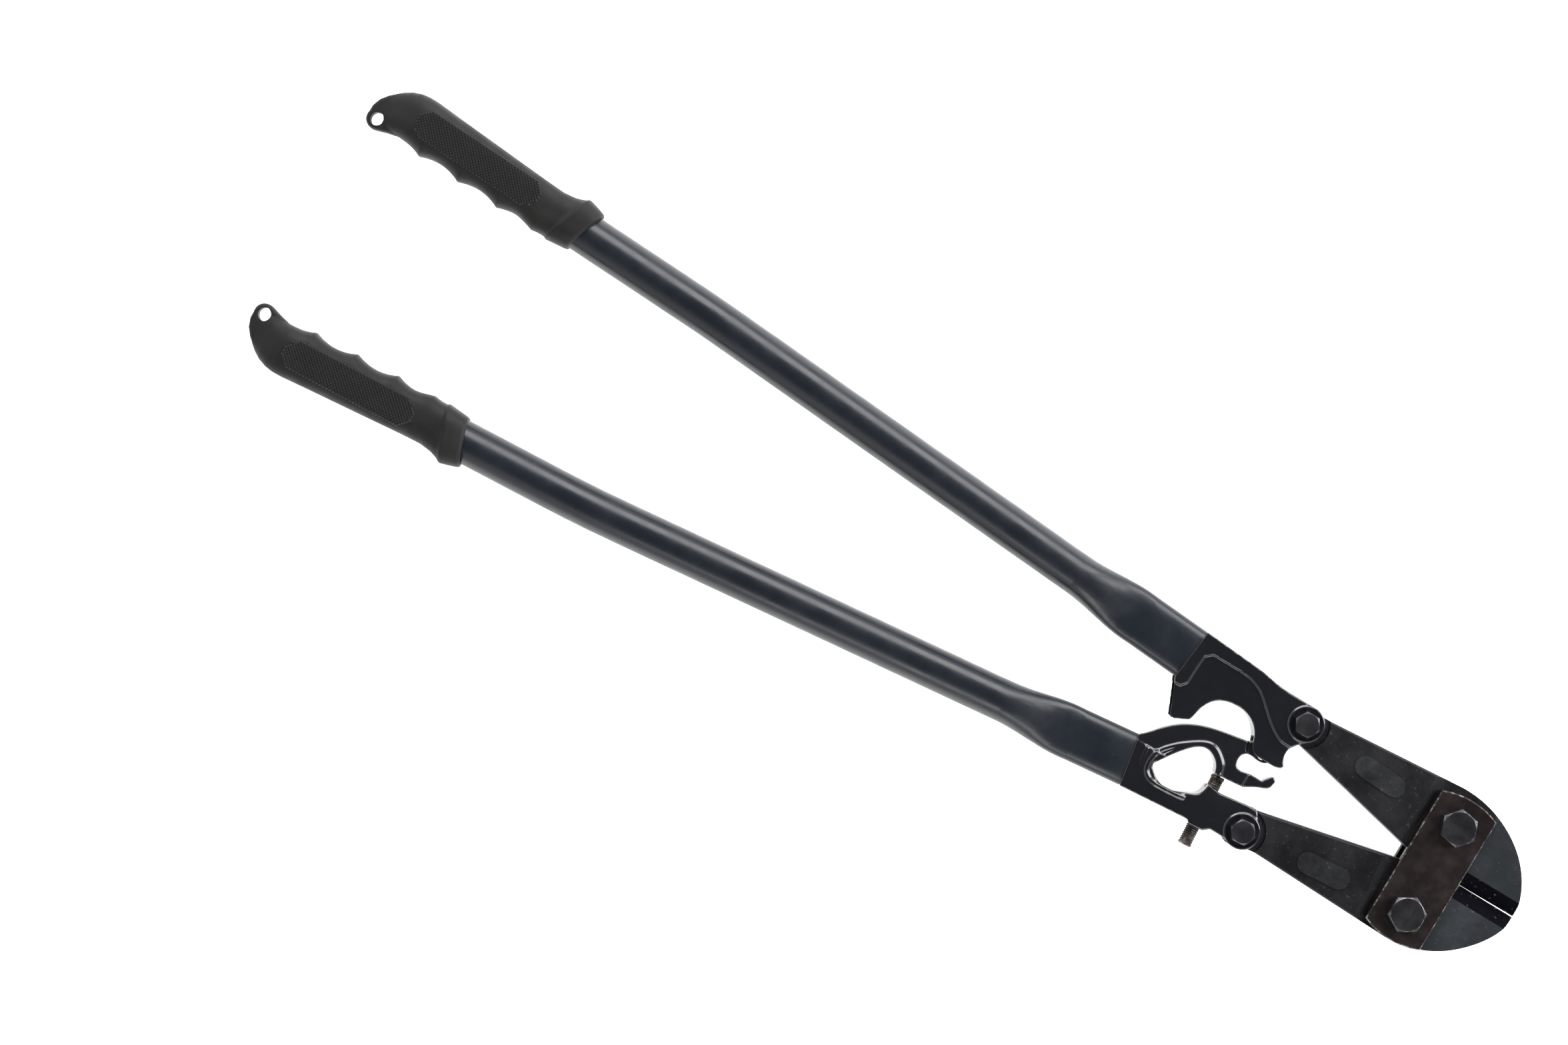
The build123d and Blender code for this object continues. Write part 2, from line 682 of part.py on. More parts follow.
def web_outline(joint):
    """The recessed web, below the upper connector's rims, seen from the front."""
    with BuildSketch() as outline:
        with BuildLine():
            Polyline(
                shifted(joint, -86.0, -17.5),
                shifted(joint, -71.4, -17.5),
                shifted(joint, -68.8, -14.5),
                shifted(joint, -68.2, 3.2),
                shifted(joint, -64.5, 6.6),
                shifted(joint, -48.0, 6.6),
            )
            Spline(
                shifted(joint, -48.0, 6.6),
                shifted(joint, -32.6, 3.2),
                shifted(joint, -20.0, -7.4),
                shifted(joint, -9.5, -14.6),
                shifted(joint, 6.0, -15.6),
                tangents=[(1, 0), (1, 0)],
            )
            Polyline(
                shifted(joint, 6.0, -15.6),
                shifted(joint, 6.0, -DEEP),
                shifted(joint, -86.0, -DEEP),
                shifted(joint, -86.0, -17.5),
            )
        make_face()
    return outline.sketch


with BuildPart() as web_cutter:
    extrude(web_outline(UPPER_JOINT), amount=DEEP / 2, both=True)
    web_profile = side_profile(
        [
            (UPPER_JOINT[0] - 2 * DEEP, SEAM_HALF_THICKNESS - WEB_DROP),
            (RAMP_REAR, SEAM_HALF_THICKNESS - WEB_DROP),
            (RAMP_FRONT, LOBE_HALF_THICKNESS),
            (UPPER_JOINT[0] + DEEP, LOBE_HALF_THICKNESS),
        ]
    )
    extrude(web_profile, amount=2 * DEEP, both=True, mode=Mode.SUBTRACT)

with BuildPart() as upper_connector:
    joint = UPPER_JOINT
    boss_top = shifted(joint, 0, BOSS_RADIUS + 0.2)
    boss_end = polar(joint, BOSS_RADIUS + 0.2, -60)
    cheek_corner = polar(CUT_OUT_CENTRE, CUT_OUT_RADIUS, 12)
    cut_out_top = polar(CUT_OUT_CENTRE, CUT_OUT_RADIUS, 90)
    cut_out_end = shifted(CUT_OUT_CENTRE, -19.4, -0.6)
    lobe_end = (CENTRE_PIVOT[0] - 1.5, LOBE_BOTTOM)
    lobe_start = (joint[0] - 2.6, LOBE_BOTTOM)
    with BuildSketch():
        with BuildLine():
            Polyline(UPPER_SEAM_BOTTOM, UPPER_SEAM_TOP, shifted(joint, -38.0, 13.2))
            Spline(
                shifted(joint, -38.0, 13.2),
                shifted(joint, -27.5, 11.4),
                shifted(joint, -16.0, BOSS_RADIUS + 0.2),
                tangents=[(35.4, -2.8), (1, 0)],
            )
            Line(shifted(joint, -16.0, BOSS_RADIUS + 0.2), boss_top)
            ThreePointArc(boss_top, polar(joint, BOSS_RADIUS + 0.2, 15), boss_end)
            Spline(
                boss_end,
                shifted(joint, -1.2, -18.0),
                (joint[0] + 1.5, LOBE_BOTTOM + 2.6),
                tangents=[(-1, -1), (1, -1.3)],
            )
            Polyline(
                (joint[0] + 1.5, LOBE_BOTTOM + 2.6),
                (joint[0] + 0.6, LOBE_BOTTOM + 1.0),
                lobe_start,
                lobe_end,
            )
            ThreePointArc(
                lobe_end,
                ((lobe_end[0] + cheek_corner[0]) / 2 - 1.6, LOBE_BOTTOM + 1.2),
                cheek_corner,
            )
            ThreePointArc(
                cheek_corner, polar(CUT_OUT_CENTRE, CUT_OUT_RADIUS, 50), cut_out_top
            )
            Spline(
                cut_out_top,
                shifted(CUT_OUT_CENTRE, -13.5, 12.8),
                cut_out_end,
                tangents=[(-1, 0), (-0.1, -1)],
            )
            Polyline(
                cut_out_end,
                shifted(CUT_OUT_CENTRE, -20.4, -3.6),
                shifted(CUT_OUT_CENTRE, -28.4, -7.6),
                shifted(CUT_OUT_CENTRE, -31.2, -7.0),
                shifted(CUT_OUT_CENTRE, -38.6, 9.8),
                UPPER_SEAM_BOTTOM,
            )
        make_face()
    extrude(amount=FORK_HALF_THICKNESS, both=True)
    trim_thickness(
        [
            (joint[0] - 2 * DEEP, SEAM_HALF_THICKNESS),
            (RAMP_REAR, SEAM_HALF_THICKNESS),
            (RAMP_FRONT, FORK_HALF_THICKNESS),
            (joint[0] + DEEP, FORK_HALF_THICKNESS),
        ]
    )
    add(web_cutter.part, mode=Mode.SUBTRACT)
    raised_ring(joint, FORK_HALF_THICKNESS)
    fork_slot(joint, BOSS_RADIUS + 0.5, -80, 124, FORK_HALF_GAP)
    fork_slot(CENTRE_PIVOT, EYE_REACH, -192, -10, LOBE_HALF_GAP)
    tang(UPPER_SEAM, UPPER_FRONT_HEADING)
    with Locations(joint):
        Hole(JOINT_BOLT_DIAMETER / 2 + THREAD_CLEARANCE)
    with BuildSketch(Plane.XY.offset(-2 * LOBE_HALF_THICKNESS)):
        with Locations(CENTRE_PIVOT):
            Circle(PIN_RADIUS + PIN_CLEARANCE)
    extrude(amount=3 * LOBE_HALF_THICKNESS - PIN_SKIN, mode=Mode.SUBTRACT)
save(upper_connector.part, "upper_connector")

# Lower connector: two arms that the adjusting screw holds apart

TONGUE_STEP_RADIUS = 12.4                   # the tongue is machined down inside this circle
ARM_HALF_THICKNESS = 6.8
RIM_WIDTH = 2.2
RIM_HEIGHT = 0.9
SCREW_SEAT = shifted(LOWER_JOINT, -SCREW_SETBACK, -11.3)
SCREW_HEADING = 90 + SCREW_TILT
HOOK_CLEAR = 24.0                           # the fork slot stops short of the hook above it
ARM_FACE = 20.0                             # underside of the upper arm, above the joint


OPENING_CENTRE = shifted(LOWER_JOINT, -45.0, 14.0)
OPENING_POINTS = (              # round the opening, from its rear, relative to the joint bolt
    (-61.6, 7.4),
    (-50.6, 22.8),
    (-39.6, 29.6),
    (-31.4, 24.6),
    (-29.4, 14.0),
    (-31.8, 5.6),
    (-37.0, 2.8),
    (-56.0, 1.0),
)


def opening_outline(grow):
    """The rounded opening between the two arms, grown outward from its middle."""
    points = []
    for offset_x, offset_y in OPENING_POINTS:
        point = shifted(LOWER_JOINT, offset_x, offset_y)
        away = (point[0] - OPENING_CENTRE[0], point[1] - OPENING_CENTRE[1])
        scale = 1 + grow / hypot(*away)
        points.append(
            (OPENING_CENTRE[0] + away[0] * scale, OPENING_CENTRE[1] + away[1] * scale)
        )
    with BuildSketch() as opening:
        with BuildLine():
            Spline(*points, periodic=True)
        make_face()
    return opening.sketch


with BuildPart() as arm_cutter:
    with BuildSketch():
        with BuildLine():
            Polyline(
                shifted(LOWER_JOINT, -62.0, 14.0),
                shifted(LOWER_JOINT, -34.0, 14.0),
                shifted(LOWER_JOINT, 30.0, 14.4),
                shifted(LOWER_JOINT, 30.0, 2 * DEEP),
                shifted(LOWER_JOINT, -110.0, 2 * DEEP),
                shifted(LOWER_JOINT, -110.0, 14.0),
                close=True,
            )
        make_face()
    extrude(amount=DEEP / 2, both=True)
    with BuildSketch(Plane.XY.offset(-ARM_HALF_THICKNESS)):
        with Locations(LOWER_JOINT):
            Rectangle(5 * DEEP, 5 * DEEP)
    extrude(amount=2 * ARM_HALF_THICKNESS, mode=Mode.SUBTRACT)

with BuildPart() as lower_connector:
    joint = LOWER_JOINT
    boss = BOSS_RADIUS + 0.2
    bar_bottom = joint[1] - 8.2
    arch_end = shifted(CENTRE_PIVOT, -11.4, -1.6)
    tongue_left = polar(EYE_CENTRE, TONGUE_RADIUS, 120)
    tongue_right = polar(EYE_CENTRE, TONGUE_RADIUS, 10)
    tongue_bottom = polar(EYE_CENTRE, TONGUE_RADIUS, -90)
    slot_left = shifted(joint, -22.2, 33.9)
    slot_top = shifted(slot_left, 5.1, 5.2)
    slot_bottom = shifted(slot_left, 5.1, -5.1)
    with BuildSketch():
        with BuildLine():
            Line(LOWER_SEAM_BOTTOM, LOWER_SEAM_TOP)
            Spline(
                LOWER_SEAM_TOP,
                shifted(joint, -68.2, 26.6),
                shifted(joint, -53.0, 37.8),
                shifted(joint, -38.0, 42.4),
                arch_end,
                tangents=[(1, 0.75), (8, 1.6)],
            )
            Line(arch_end, tongue_left)
            ThreePointArc(
                tongue_left, polar(EYE_CENTRE, TONGUE_RADIUS, 60), tongue_right
            )
            ThreePointArc(
                tongue_right, polar(EYE_CENTRE, TONGUE_RADIUS, -40), tongue_bottom
            )
            Spline(tongue_bottom, slot_top, slot_left, tangents=[(-1, 0), (0, -1)])
            Spline(
                slot_left,
                slot_bottom,
                shifted(joint, -13.0, 29.7),
                shifted(joint, -4.0, 29.8),
                shifted(joint, 0.0, 35.2),
                tangents=[(0, -1), (1, 1.0)],
            )
            ThreePointArc(
                shifted(joint, 0.0, 35.2),
                shifted(joint, 1.4, 34.8),
                shifted(joint, 2.2, 31.6),
            )
            Spline(
                shifted(joint, 2.2, 31.6),
                shifted(joint, -3.5, 26.0),
                shifted(joint, -11.5, 21.6),
                tangents=[(0, -1), (-1, -0.6)],
            )
            Polyline(
                shifted(joint, -11.5, 21.6),
                shifted(joint, -22.0, ARM_FACE + 0.4),
                shifted(joint, -30.0, ARM_FACE),
                shifted(joint, -30.0, 13.2),
                shifted(joint, -21.2, 12.0),
                shifted(joint, 1.2, 15.0),
                polar(joint, boss, 60),
            )
            ThreePointArc(
                polar(joint, boss, 60), polar(joint, boss, 0), polar(joint, boss, -52)
            )
            Polyline(
                polar(joint, boss, -52),
                (joint[0] - 16.0, bar_bottom),
                shifted(SCREW_SEAT, 4.2, 0.2),
                shifted(SCREW_SEAT, -4.4, -0.4),
                shifted(SCREW_SEAT, -6.0, 1.4),
                LOWER_SEAM_BOTTOM,
            )
        make_face()
    extrude(amount=FORK_HALF_THICKNESS, both=True)
    trim_thickness(
        [
            (joint[0] - 2 * DEEP, SEAM_HALF_THICKNESS),
            (RAMP_REAR, SEAM_HALF_THICKNESS),
            (RAMP_FRONT, FORK_HALF_THICKNESS),
            (joint[0] + DEEP, FORK_HALF_THICKNESS),
        ]
    )
    add(arm_cutter.part, mode=Mode.SUBTRACT)
    for face in (1, -1):
        with BuildSketch(Plane.XY.offset(face * TONGUE_HALF_THICKNESS)):
            with Locations(CENTRE_PIVOT):
                Circle(TONGUE_STEP_RADIUS)
            with Locations(shifted(CENTRE_PIVOT, 10.0, -16.0)):
                Rectangle(25.0, 22.0)
        extrude(amount=face * DEEP, mode=Mode.SUBTRACT)
    raised_ring(joint, FORK_HALF_THICKNESS)
    extrude(opening_outline(RIM_WIDTH), amount=ARM_HALF_THICKNESS + RIM_HEIGHT, both=True)
    extrude(opening_outline(0), amount=DEEP, both=True, mode=Mode.SUBTRACT)
    with BuildSketch():
        with BuildLine():
            Polyline(
                shifted(joint, -34.0, ARM_FACE + 0.1),
                shifted(joint, -22.0, ARM_FACE + 0.5),
                shifted(joint, -11.6, 21.5),
                shifted(joint, 4.0, 18.0),
                shifted(joint, 1.2, 15.0),
                shifted(joint, -21.2, 12.0),
                shifted(joint, -34.0, 13.6),
                close=True,
            )
        make_face()
    extrude(amount=DEEP, both=True, mode=Mode.SUBTRACT)
    fork_slot(joint, BOSS_RADIUS + 2.2, -85, 96, FORK_HALF_GAP, HOOK_CLEAR)
    tang(LOWER_SEAM, LOWER_FRONT_HEADING)
    with Locations(joint):
        Hole(JOINT_BOLT_DIAMETER / 2 + THREAD_CLEARANCE)
    with Locations(EYE_CENTRE):
        Hole(EYE_RADIUS)
    with BuildSketch(across_plane(polar(SCREW_SEAT, -10.0, SCREW_HEADING), SCREW_HEADING)):
        Circle(SCREW_DIAMETER / 2 + THREAD_CLEARANCE)
    extrude(amount=10.0 + 28.0, mode=Mode.SUBTRACT)
save(lower_connector.part, "lower_connector")

# ---------------------------------------------------------------------------------------
# Adjusting screw: a headless screw with a socket in its outer end
# ---------------------------------------------------------------------------------------

THREAD_DEPTH = 0.55
SOCKET_FLATS = 4.0
SOCKET_DEPTH = 5.0
screw_top = (ARM_FACE + 11.3 - SCREW_TIP_GAP) / cos(radians(SCREW_TILT)) - 0.1
screw_rear = polar(SCREW_SEAT, screw_top - SCREW_LENGTH, SCREW_HEADING)

with BuildPart() as adjusting_screw:
    half_pitch = SCREW_PITCH / 2
    turns = int((SCREW_LENGTH - 2 * SCREW_PITCH) / SCREW_PITCH)
    crest = SCREW_DIAMETER / 2
    root = crest - THREAD_DEPTH
    rim = [(0, 0), (root, 0), (crest, THREAD_DEPTH)]
    for turn in range(turns):
        height = SCREW_PITCH * (turn + 1)
        rim.append((crest, height))
        rim.append((root, height + half_pitch))
    rim.append((crest, SCREW_PITCH * (turns + 1)))
    rim.append((crest, SCREW_LENGTH - THREAD_DEPTH))
    rim.append((root, SCREW_LENGTH))
    rim.append((0, SCREW_LENGTH))
    with BuildSketch(Plane.XZ):
        with BuildLine():
            Polyline(*rim, close=True)
        make_face()
    revolve(axis=Axis.Z)
    with BuildSketch():
        RegularPolygon(SOCKET_FLATS / 2 / cos(radians(30)), 6)
    extrude(amount=SOCKET_DEPTH, mode=Mode.SUBTRACT)
save(across_plane(screw_rear, SCREW_HEADING).location * adjusting_screw.part, "adjusting_screw")

# ---------------------------------------------------------------------------------------
# Grips: one moulding and its mirror image
# ---------------------------------------------------------------------------------------

GRIP_STATIONS = (               # from the front: distance, inner side, outer side, half thickness
    (-4.0, -12.9, 13.2, 13.4),
    (2.0, -13.0, 15.2, 14.5 + COLLAR_SWELL * 0.5),
    (7.5, -13.4, 17.0, 14.5 + COLLAR_SWELL),
    (14.0, -14.6, 15.2, 14.5 + COLLAR_SWELL * 0.6),
    (20.0, -15.1, 12.9, GRIP_THICKNESS / 2),
    (29.0, -13.6, 12.9, GRIP_THICKNESS / 2),
    (37.0, -15.8 + GROOVE_DEPTH, 13.0, GRIP_THICKNESS / 2),
    (50.0, -15.8, 13.4, GRIP_THICKNESS / 2),
    (63.0, -15.8 + GROOVE_DEPTH, 13.8, GRIP_THICKNESS / 2),
    (76.0, -15.8, 14.3, GRIP_THICKNESS / 2),
    (89.0, -15.8 + GROOVE_DEPTH, 14.7, GRIP_THICKNESS / 2),
    (102.0, -15.8, 15.2, GRIP_THICKNESS / 2),
    (112.0, -13.6, 15.7, GRIP_THICKNESS / 2 - 0.6),
    (120.0, -13.4, 13.6, 11.6),
    (127.0, -14.0, 9.4, 8.0),
    (133.0, -14.2, 3.4, HANG_TAB_THICKNESS / 2 - 0.6),
)
GRIP_SQUARENESS = 3.0
HANG_PLACE = (GRIP_LENGTH - HANG_HOLE_RADIUS - HANG_WALL, -11.2)


def grip(name, bend, heading, run, side):
    """A grip: swollen collar, finger grooves, and a flat tab with a hole for hanging up.

    side is +1 where the outer side lies to the left looking forward, -1 where to the right.
    """
    along = (cos(radians(heading)), sin(radians(heading)))
    outward = (-along[1] * side, along[0] * side)
    front = polar(bend, run - GRIP_OVERLAP, heading)

    def place(distance, out):
        """A point by its distance behind the grip's front and its distance outward."""
        return (
            front[0] + along[0] * distance + outward[0] * out,
            front[1] + along[1] * distance + outward[1] * out,
        )

    sections = [
        flattened_ring(
            across_plane(place(distance, (inner + outer) / 2), heading),
            outer - inner,
            2 * half,
            GRIP_SQUARENESS,
        )
        for distance, inner, outer, half in GRIP_STATIONS
    ]
    hang_hole = place(*HANG_PLACE)
    corner = HANG_HOLE_RADIUS + HANG_WALL
    corner_start = place(HANG_PLACE[0] - corner * 0.5, HANG_PLACE[1] - corner * 0.866)
    corner_middle = place(HANG_PLACE[0] + corner * 0.643, HANG_PLACE[1] - corner * 0.766)
    corner_end = place(HANG_PLACE[0] + corner * 0.94, HANG_PLACE[1] + corner * 0.342)
    front_edge = (place(-3.5, 13.0), place(3.5, -12.0))
    edge_run = (front_edge[0][0] - front_edge[1][0], front_edge[0][1] - front_edge[1][1], 0)
    front_face = Plane(
        origin=(*front_edge[0], 0),
        x_dir=(0, 0, 1),
        z_dir=(edge_run[1] * side, -edge_run[0] * side, 0),
    )
    with BuildPart() as moulding:
        loft(sections)
        with BuildSketch():
            with BuildLine():
                Line(place(112.0, 13.0), place(112.0, -11.0))
                Spline(
                    place(112.0, -11.0),
                    place(122.0, -13.2),
                    corner_start,
                )
                ThreePointArc(corner_start, corner_middle, corner_end)
                Spline(corner_end, place(131.0, 5.5), place(112.0, 13.0))
            make_face()
        extrude(amount=HANG_TAB_THICKNESS / 2, both=True)
        with Locations(hang_hole):
            Hole(HANG_HOLE_RADIUS)
        with BuildSketch(across_plane(place(-20.0, 0), heading)):
            Circle(TUBE_RADIUS + GRIP_FIT)
        extrude(amount=20.0 + GRIP_OVERLAP + 0.3, mode=Mode.SUBTRACT)
        split(bisect_by=front_face, keep=Keep.TOP)
    save(moulding.part, name)


grip("upper_grip", UPPER_BEND, UPPER_REAR_HEADING, UPPER_REAR_RUN, -1)
grip("lower_grip", LOWER_BEND, LOWER_REAR_HEADING, LOWER_REAR_RUN, 1)
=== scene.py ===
import logging
import math
from dataclasses import dataclass, field
from enum import Enum

import bmesh
import bpy
import numpy as np
from mathutils import Matrix, Vector


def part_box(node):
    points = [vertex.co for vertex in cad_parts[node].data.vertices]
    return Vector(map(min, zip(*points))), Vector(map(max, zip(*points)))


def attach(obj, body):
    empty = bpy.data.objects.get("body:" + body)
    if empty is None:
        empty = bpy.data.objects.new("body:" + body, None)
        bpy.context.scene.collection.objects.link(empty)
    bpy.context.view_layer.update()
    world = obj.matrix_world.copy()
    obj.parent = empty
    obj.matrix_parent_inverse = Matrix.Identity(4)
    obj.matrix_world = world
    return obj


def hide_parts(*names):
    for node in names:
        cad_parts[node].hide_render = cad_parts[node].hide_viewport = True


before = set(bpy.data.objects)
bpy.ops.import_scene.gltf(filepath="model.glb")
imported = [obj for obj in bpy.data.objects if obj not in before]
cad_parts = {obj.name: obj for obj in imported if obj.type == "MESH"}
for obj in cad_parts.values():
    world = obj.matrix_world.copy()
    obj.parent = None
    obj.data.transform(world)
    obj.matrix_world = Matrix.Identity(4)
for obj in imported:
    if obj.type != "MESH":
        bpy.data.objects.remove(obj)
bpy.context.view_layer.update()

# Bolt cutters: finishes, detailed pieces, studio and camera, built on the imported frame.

logging.basicConfig(level=logging.INFO, format="%(message)s")
LOG = logging.getLogger("bolt_cutters")
MM = 0.001
SAME_POINT = 0.002 * MM  # corners of the CAD's loose triangles closer than this are one
RAY_HEIGHT = 0.05  # metres over and under the tool, clear of every piece
Colour = tuple[float, float, float]
Line = tuple[tuple[float, float], ...]


class Handle(Enum):
    """Which of the two handles a piece belongs to; the value is its side of the tool."""

    UPPER = 1
    LOWER = -1

    @property
    def label(self) -> str:
        """The start of its pieces' names."""
        return self.name.lower()

    @property
    def body(self) -> str:
        """The moving body that its pieces ride on."""
        return f"{self.label}_handle"


class Wear(Enum):
    """Where a steel finish is painted bright: on its chamfers and edges, as wear and painted
    highlight, or in scratches on its faces too.
    """

    EDGES = "edges"
    SCRATCHES = "scratches"


# ---------------------------------------------------------------------------------------
# Finishes
# ---------------------------------------------------------------------------------------


class Graph:
    """A material's nodes, with short calls to add and join them."""

    def __init__(self, name: str) -> None:
        """Starts an empty material with a Principled shader.

        Args:
            name: The material's name.
        """
        self.material = bpy.data.materials.new(name)
        self.material.use_nodes = True
        self.tree = self.material.node_tree
        self.tree.nodes.clear()
        output = self.tree.nodes.new("ShaderNodeOutputMaterial")
        self.shader = self.tree.nodes.new("ShaderNodeBsdfPrincipled")
        self.join(self.shader.outputs["BSDF"], output.inputs["Surface"])
        self.place = self.tree.nodes.new("ShaderNodeTexCoord")

    def join(self, source: bpy.types.NodeSocket, target: bpy.types.NodeSocket) -> None:
        """Links one socket to another."""
        self.tree.links.new(source, target)

    def put(self, target: bpy.types.NodeSocket, value: object) -> None:
        """Sets a socket to a number or colour, or links it to another socket."""
        if isinstance(value, bpy.types.NodeSocket):
            self.join(value, target)
        elif isinstance(value, tuple) and len(value) == 3 and len(target.default_value) == 4:
            target.default_value = (*value, 1.0)
        else:
            target.default_value = value

    def stretched(
        self, scale: tuple[float, float, float], turn: float = 0.0
    ) -> bpy.types.NodeSocket:
        """The object's coordinates, turned about Z and scaled by axis.

        Args:
            scale: The scale along each axis.
            turn: The turn about Z, in degrees.

        Returns:
            The coordinates' socket.
        """
        mapping = self.tree.nodes.new("ShaderNodeMapping")
        mapping.inputs["Rotation"].default_value = (0.0, 0.0, math.radians(turn))
        mapping.inputs["Scale"].default_value = scale
        self.join(self.place.outputs["Object"], mapping.inputs["Vector"])
        return mapping.outputs["Vector"]

    def noise(
        self,
        scale: float,
        detail: float = 3.0,
        rough: float = 0.5,
        where: bpy.types.NodeSocket | None = None,
    ) -> bpy.types.NodeSocket:
        """Noise on the object's coordinates.

        Args:
            scale: Features per metre.
            detail: Octaves.
            rough: How strong the fine octaves are.
            where: Other coordinates to read.

        Returns:
            The noise's value, from 0 to 1.
        """
        node = self.tree.nodes.new("ShaderNodeTexNoise")
        node.inputs["Scale"].default_value = scale
        node.inputs["Detail"].default_value = detail
        node.inputs["Roughness"].default_value = rough
        self.join(where or self.place.outputs["Object"], node.inputs["Vector"])
        return node.outputs["Fac"]

    def maths(self, operation: str, first: object, second: object = 0.0) -> bpy.types.NodeSocket:
        """One Math node's result.

        Args:
            operation: The node's operation.
            first: A number or socket.
            second: A number or socket.

        Returns:
            The result's socket.
        """
        node = self.tree.nodes.new("ShaderNodeMath")
        node.operation = operation
        self.put(node.inputs[0], first)
        self.put(node.inputs[1], second)
        return node.outputs[0]

    def ramp(
        self, value: object, low: float, high: float, start: float = 0.0, end: float = 1.0
    ) -> bpy.types.NodeSocket:
        """A value mapped smoothly from one range to another, and held outside it.

        Args:
            value: A number or socket.
            low: The value that gives start.
            high: The value that gives end.
            start: The result at low.
            end: The result at high.

        Returns:
            The result's socket.
        """
        node = self.tree.nodes.new("ShaderNodeMapRange")
        node.interpolation_type = "SMOOTHSTEP"
        self.put(node.inputs["Value"], value)
        for name, number in (
            ("From Min", low),
            ("From Max", high),
            ("To Min", start),
            ("To Max", end),
        ):
            node.inputs[name].default_value = number
        return node.outputs["Result"]

    def blend(self, share: object, first: object, second: object) -> bpy.types.NodeSocket:
        """Two colours mixed.

        Args:
            share: How much of the second, from 0 to 1.
            first: A colour or socket.
            second: A colour or socket.

        Returns:
            The mixed colour's socket.
        """
        node = self.tree.nodes.new("ShaderNodeMix")
        node.data_type = "RGBA"
        self.put(node.inputs[0], share)
        self.put(node.inputs[6], first)
        self.put(node.inputs[7], second)
        return node.outputs[2]

    def varied(
        self, share: object, colour: Colour, dark: float, light: float
    ) -> bpy.types.NodeSocket:
        """One colour between a darker and a lighter form of itself.

        Args:
            share: How light it is, from 0 to 1.
            colour: The colour.
            dark: The factor at 0.
            light: The factor at 1.

        Returns:
            The colour's socket.
        """
        return self.blend(share, tuple(dark * c for c in colour), tuple(light * c for c in colour))

    def axis(self, name: str) -> bpy.types.NodeSocket:
        """One of the object's coordinates: X, Y or Z, in metres."""
        node = self.tree.nodes.new("ShaderNodeSeparateXYZ")
        self.join(self.place.outputs["Object"], node.inputs[0])
        return node.outputs[name]

    def facing(self) -> bpy.types.NodeSocket:
        """How far the surface faces up or down, from 0 to 1."""
        node = self.tree.nodes.new("ShaderNodeSeparateXYZ")
        self.join(self.place.outputs["Normal"], node.inputs[0])
        return self.maths("ABSOLUTE", node.outputs["Z"])

    def bump(self, height: bpy.types.NodeSocket, depth: float, strength: float = 1.0) -> None:
        """Adds a bump to the shader, over any that it has.

        Args:
            height: The height's socket.
            depth: How high a height of 1 stands, in metres.
            strength: How much of it shows.
        """
        node = self.tree.nodes.new("ShaderNodeBump")
        node.inputs["Strength"].default_value = strength
        node.inputs["Distance"].default_value = depth
        self.join(height, node.inputs["Height"])
        if self.shader.inputs["Normal"].is_linked:
            self.join(self.shader.inputs["Normal"].links[0].from_socket, node.inputs["Normal"])
        self.join(node.outputs["Normal"], self.shader.inputs["Normal"])


@dataclass(frozen=True)
class CastPaint:
    """Thick gloss paint over a rough casting."""

    name: str
    colour: Colour = (0.0028, 0.0030, 0.0044)
    gloss: float = 0.12

    def build(self) -> bpy.types.Material:
        """Returns the finish as a material."""
        g = Graph(self.name)
        patches = g.noise(38.0, 4.0, 0.6)
        g.put(g.shader.inputs["Base Color"], g.varied(patches, self.colour, 1.0, 1.7))
        g.put(
            g.shader.inputs["Roughness"],
            g.ramp(g.noise(70.0, 5.0, 0.65), 0.3, 0.75, self.gloss, self.gloss + 0.12),
        )
        g.shader.inputs["Coat Weight"].default_value = 0.55
        g.shader.inputs["Coat Roughness"].default_value = 0.07
        g.bump(g.noise(200.0, 3.0, 0.55), 0.00025, 0.4)
        g.bump(g.noise(1100.0, 2.0, 0.5), 0.00003, 0.3)
        return g.material


@dataclass(frozen=True)
class TubePaint:
    """Satin blue-black paint on drawn tube, with faint scuffs along it."""

    name: str
    colour: Colour = (0.0047, 0.0067, 0.0098)
    scuffed: Colour = (0.06, 0.062, 0.07)

    def build(self) -> bpy.types.Material:
        """Returns the finish as a material."""
        g = Graph(self.name)
        scuffs = g.ramp(g.noise(1.0, 4.0, 0.6, g.stretched((60.0, 900.0, 900.0), 3.0)), 0.68, 0.8)
        g.put(
            g.shader.inputs["Base Color"],
            g.blend(
                g.maths("MULTIPLY", scuffs, 0.35),
                g.varied(g.noise(18.0, 3.0), self.colour, 1.0, 1.5),
                self.scuffed,
            ),
        )
        g.put(
            g.shader.inputs["Roughness"],
            g.ramp(g.noise(55.0, 4.0, 0.6), 0.3, 0.7, 0.26, 0.38),
        )
        g.shader.inputs["Specular IOR Level"].default_value = 0.37
        g.shader.inputs["Coat Weight"].default_value = 0.08
        g.shader.inputs["Coat Roughness"].default_value = 0.12
        g.bump(g.noise(700.0, 2.0), 0.00006, 0.4)
        return g.material


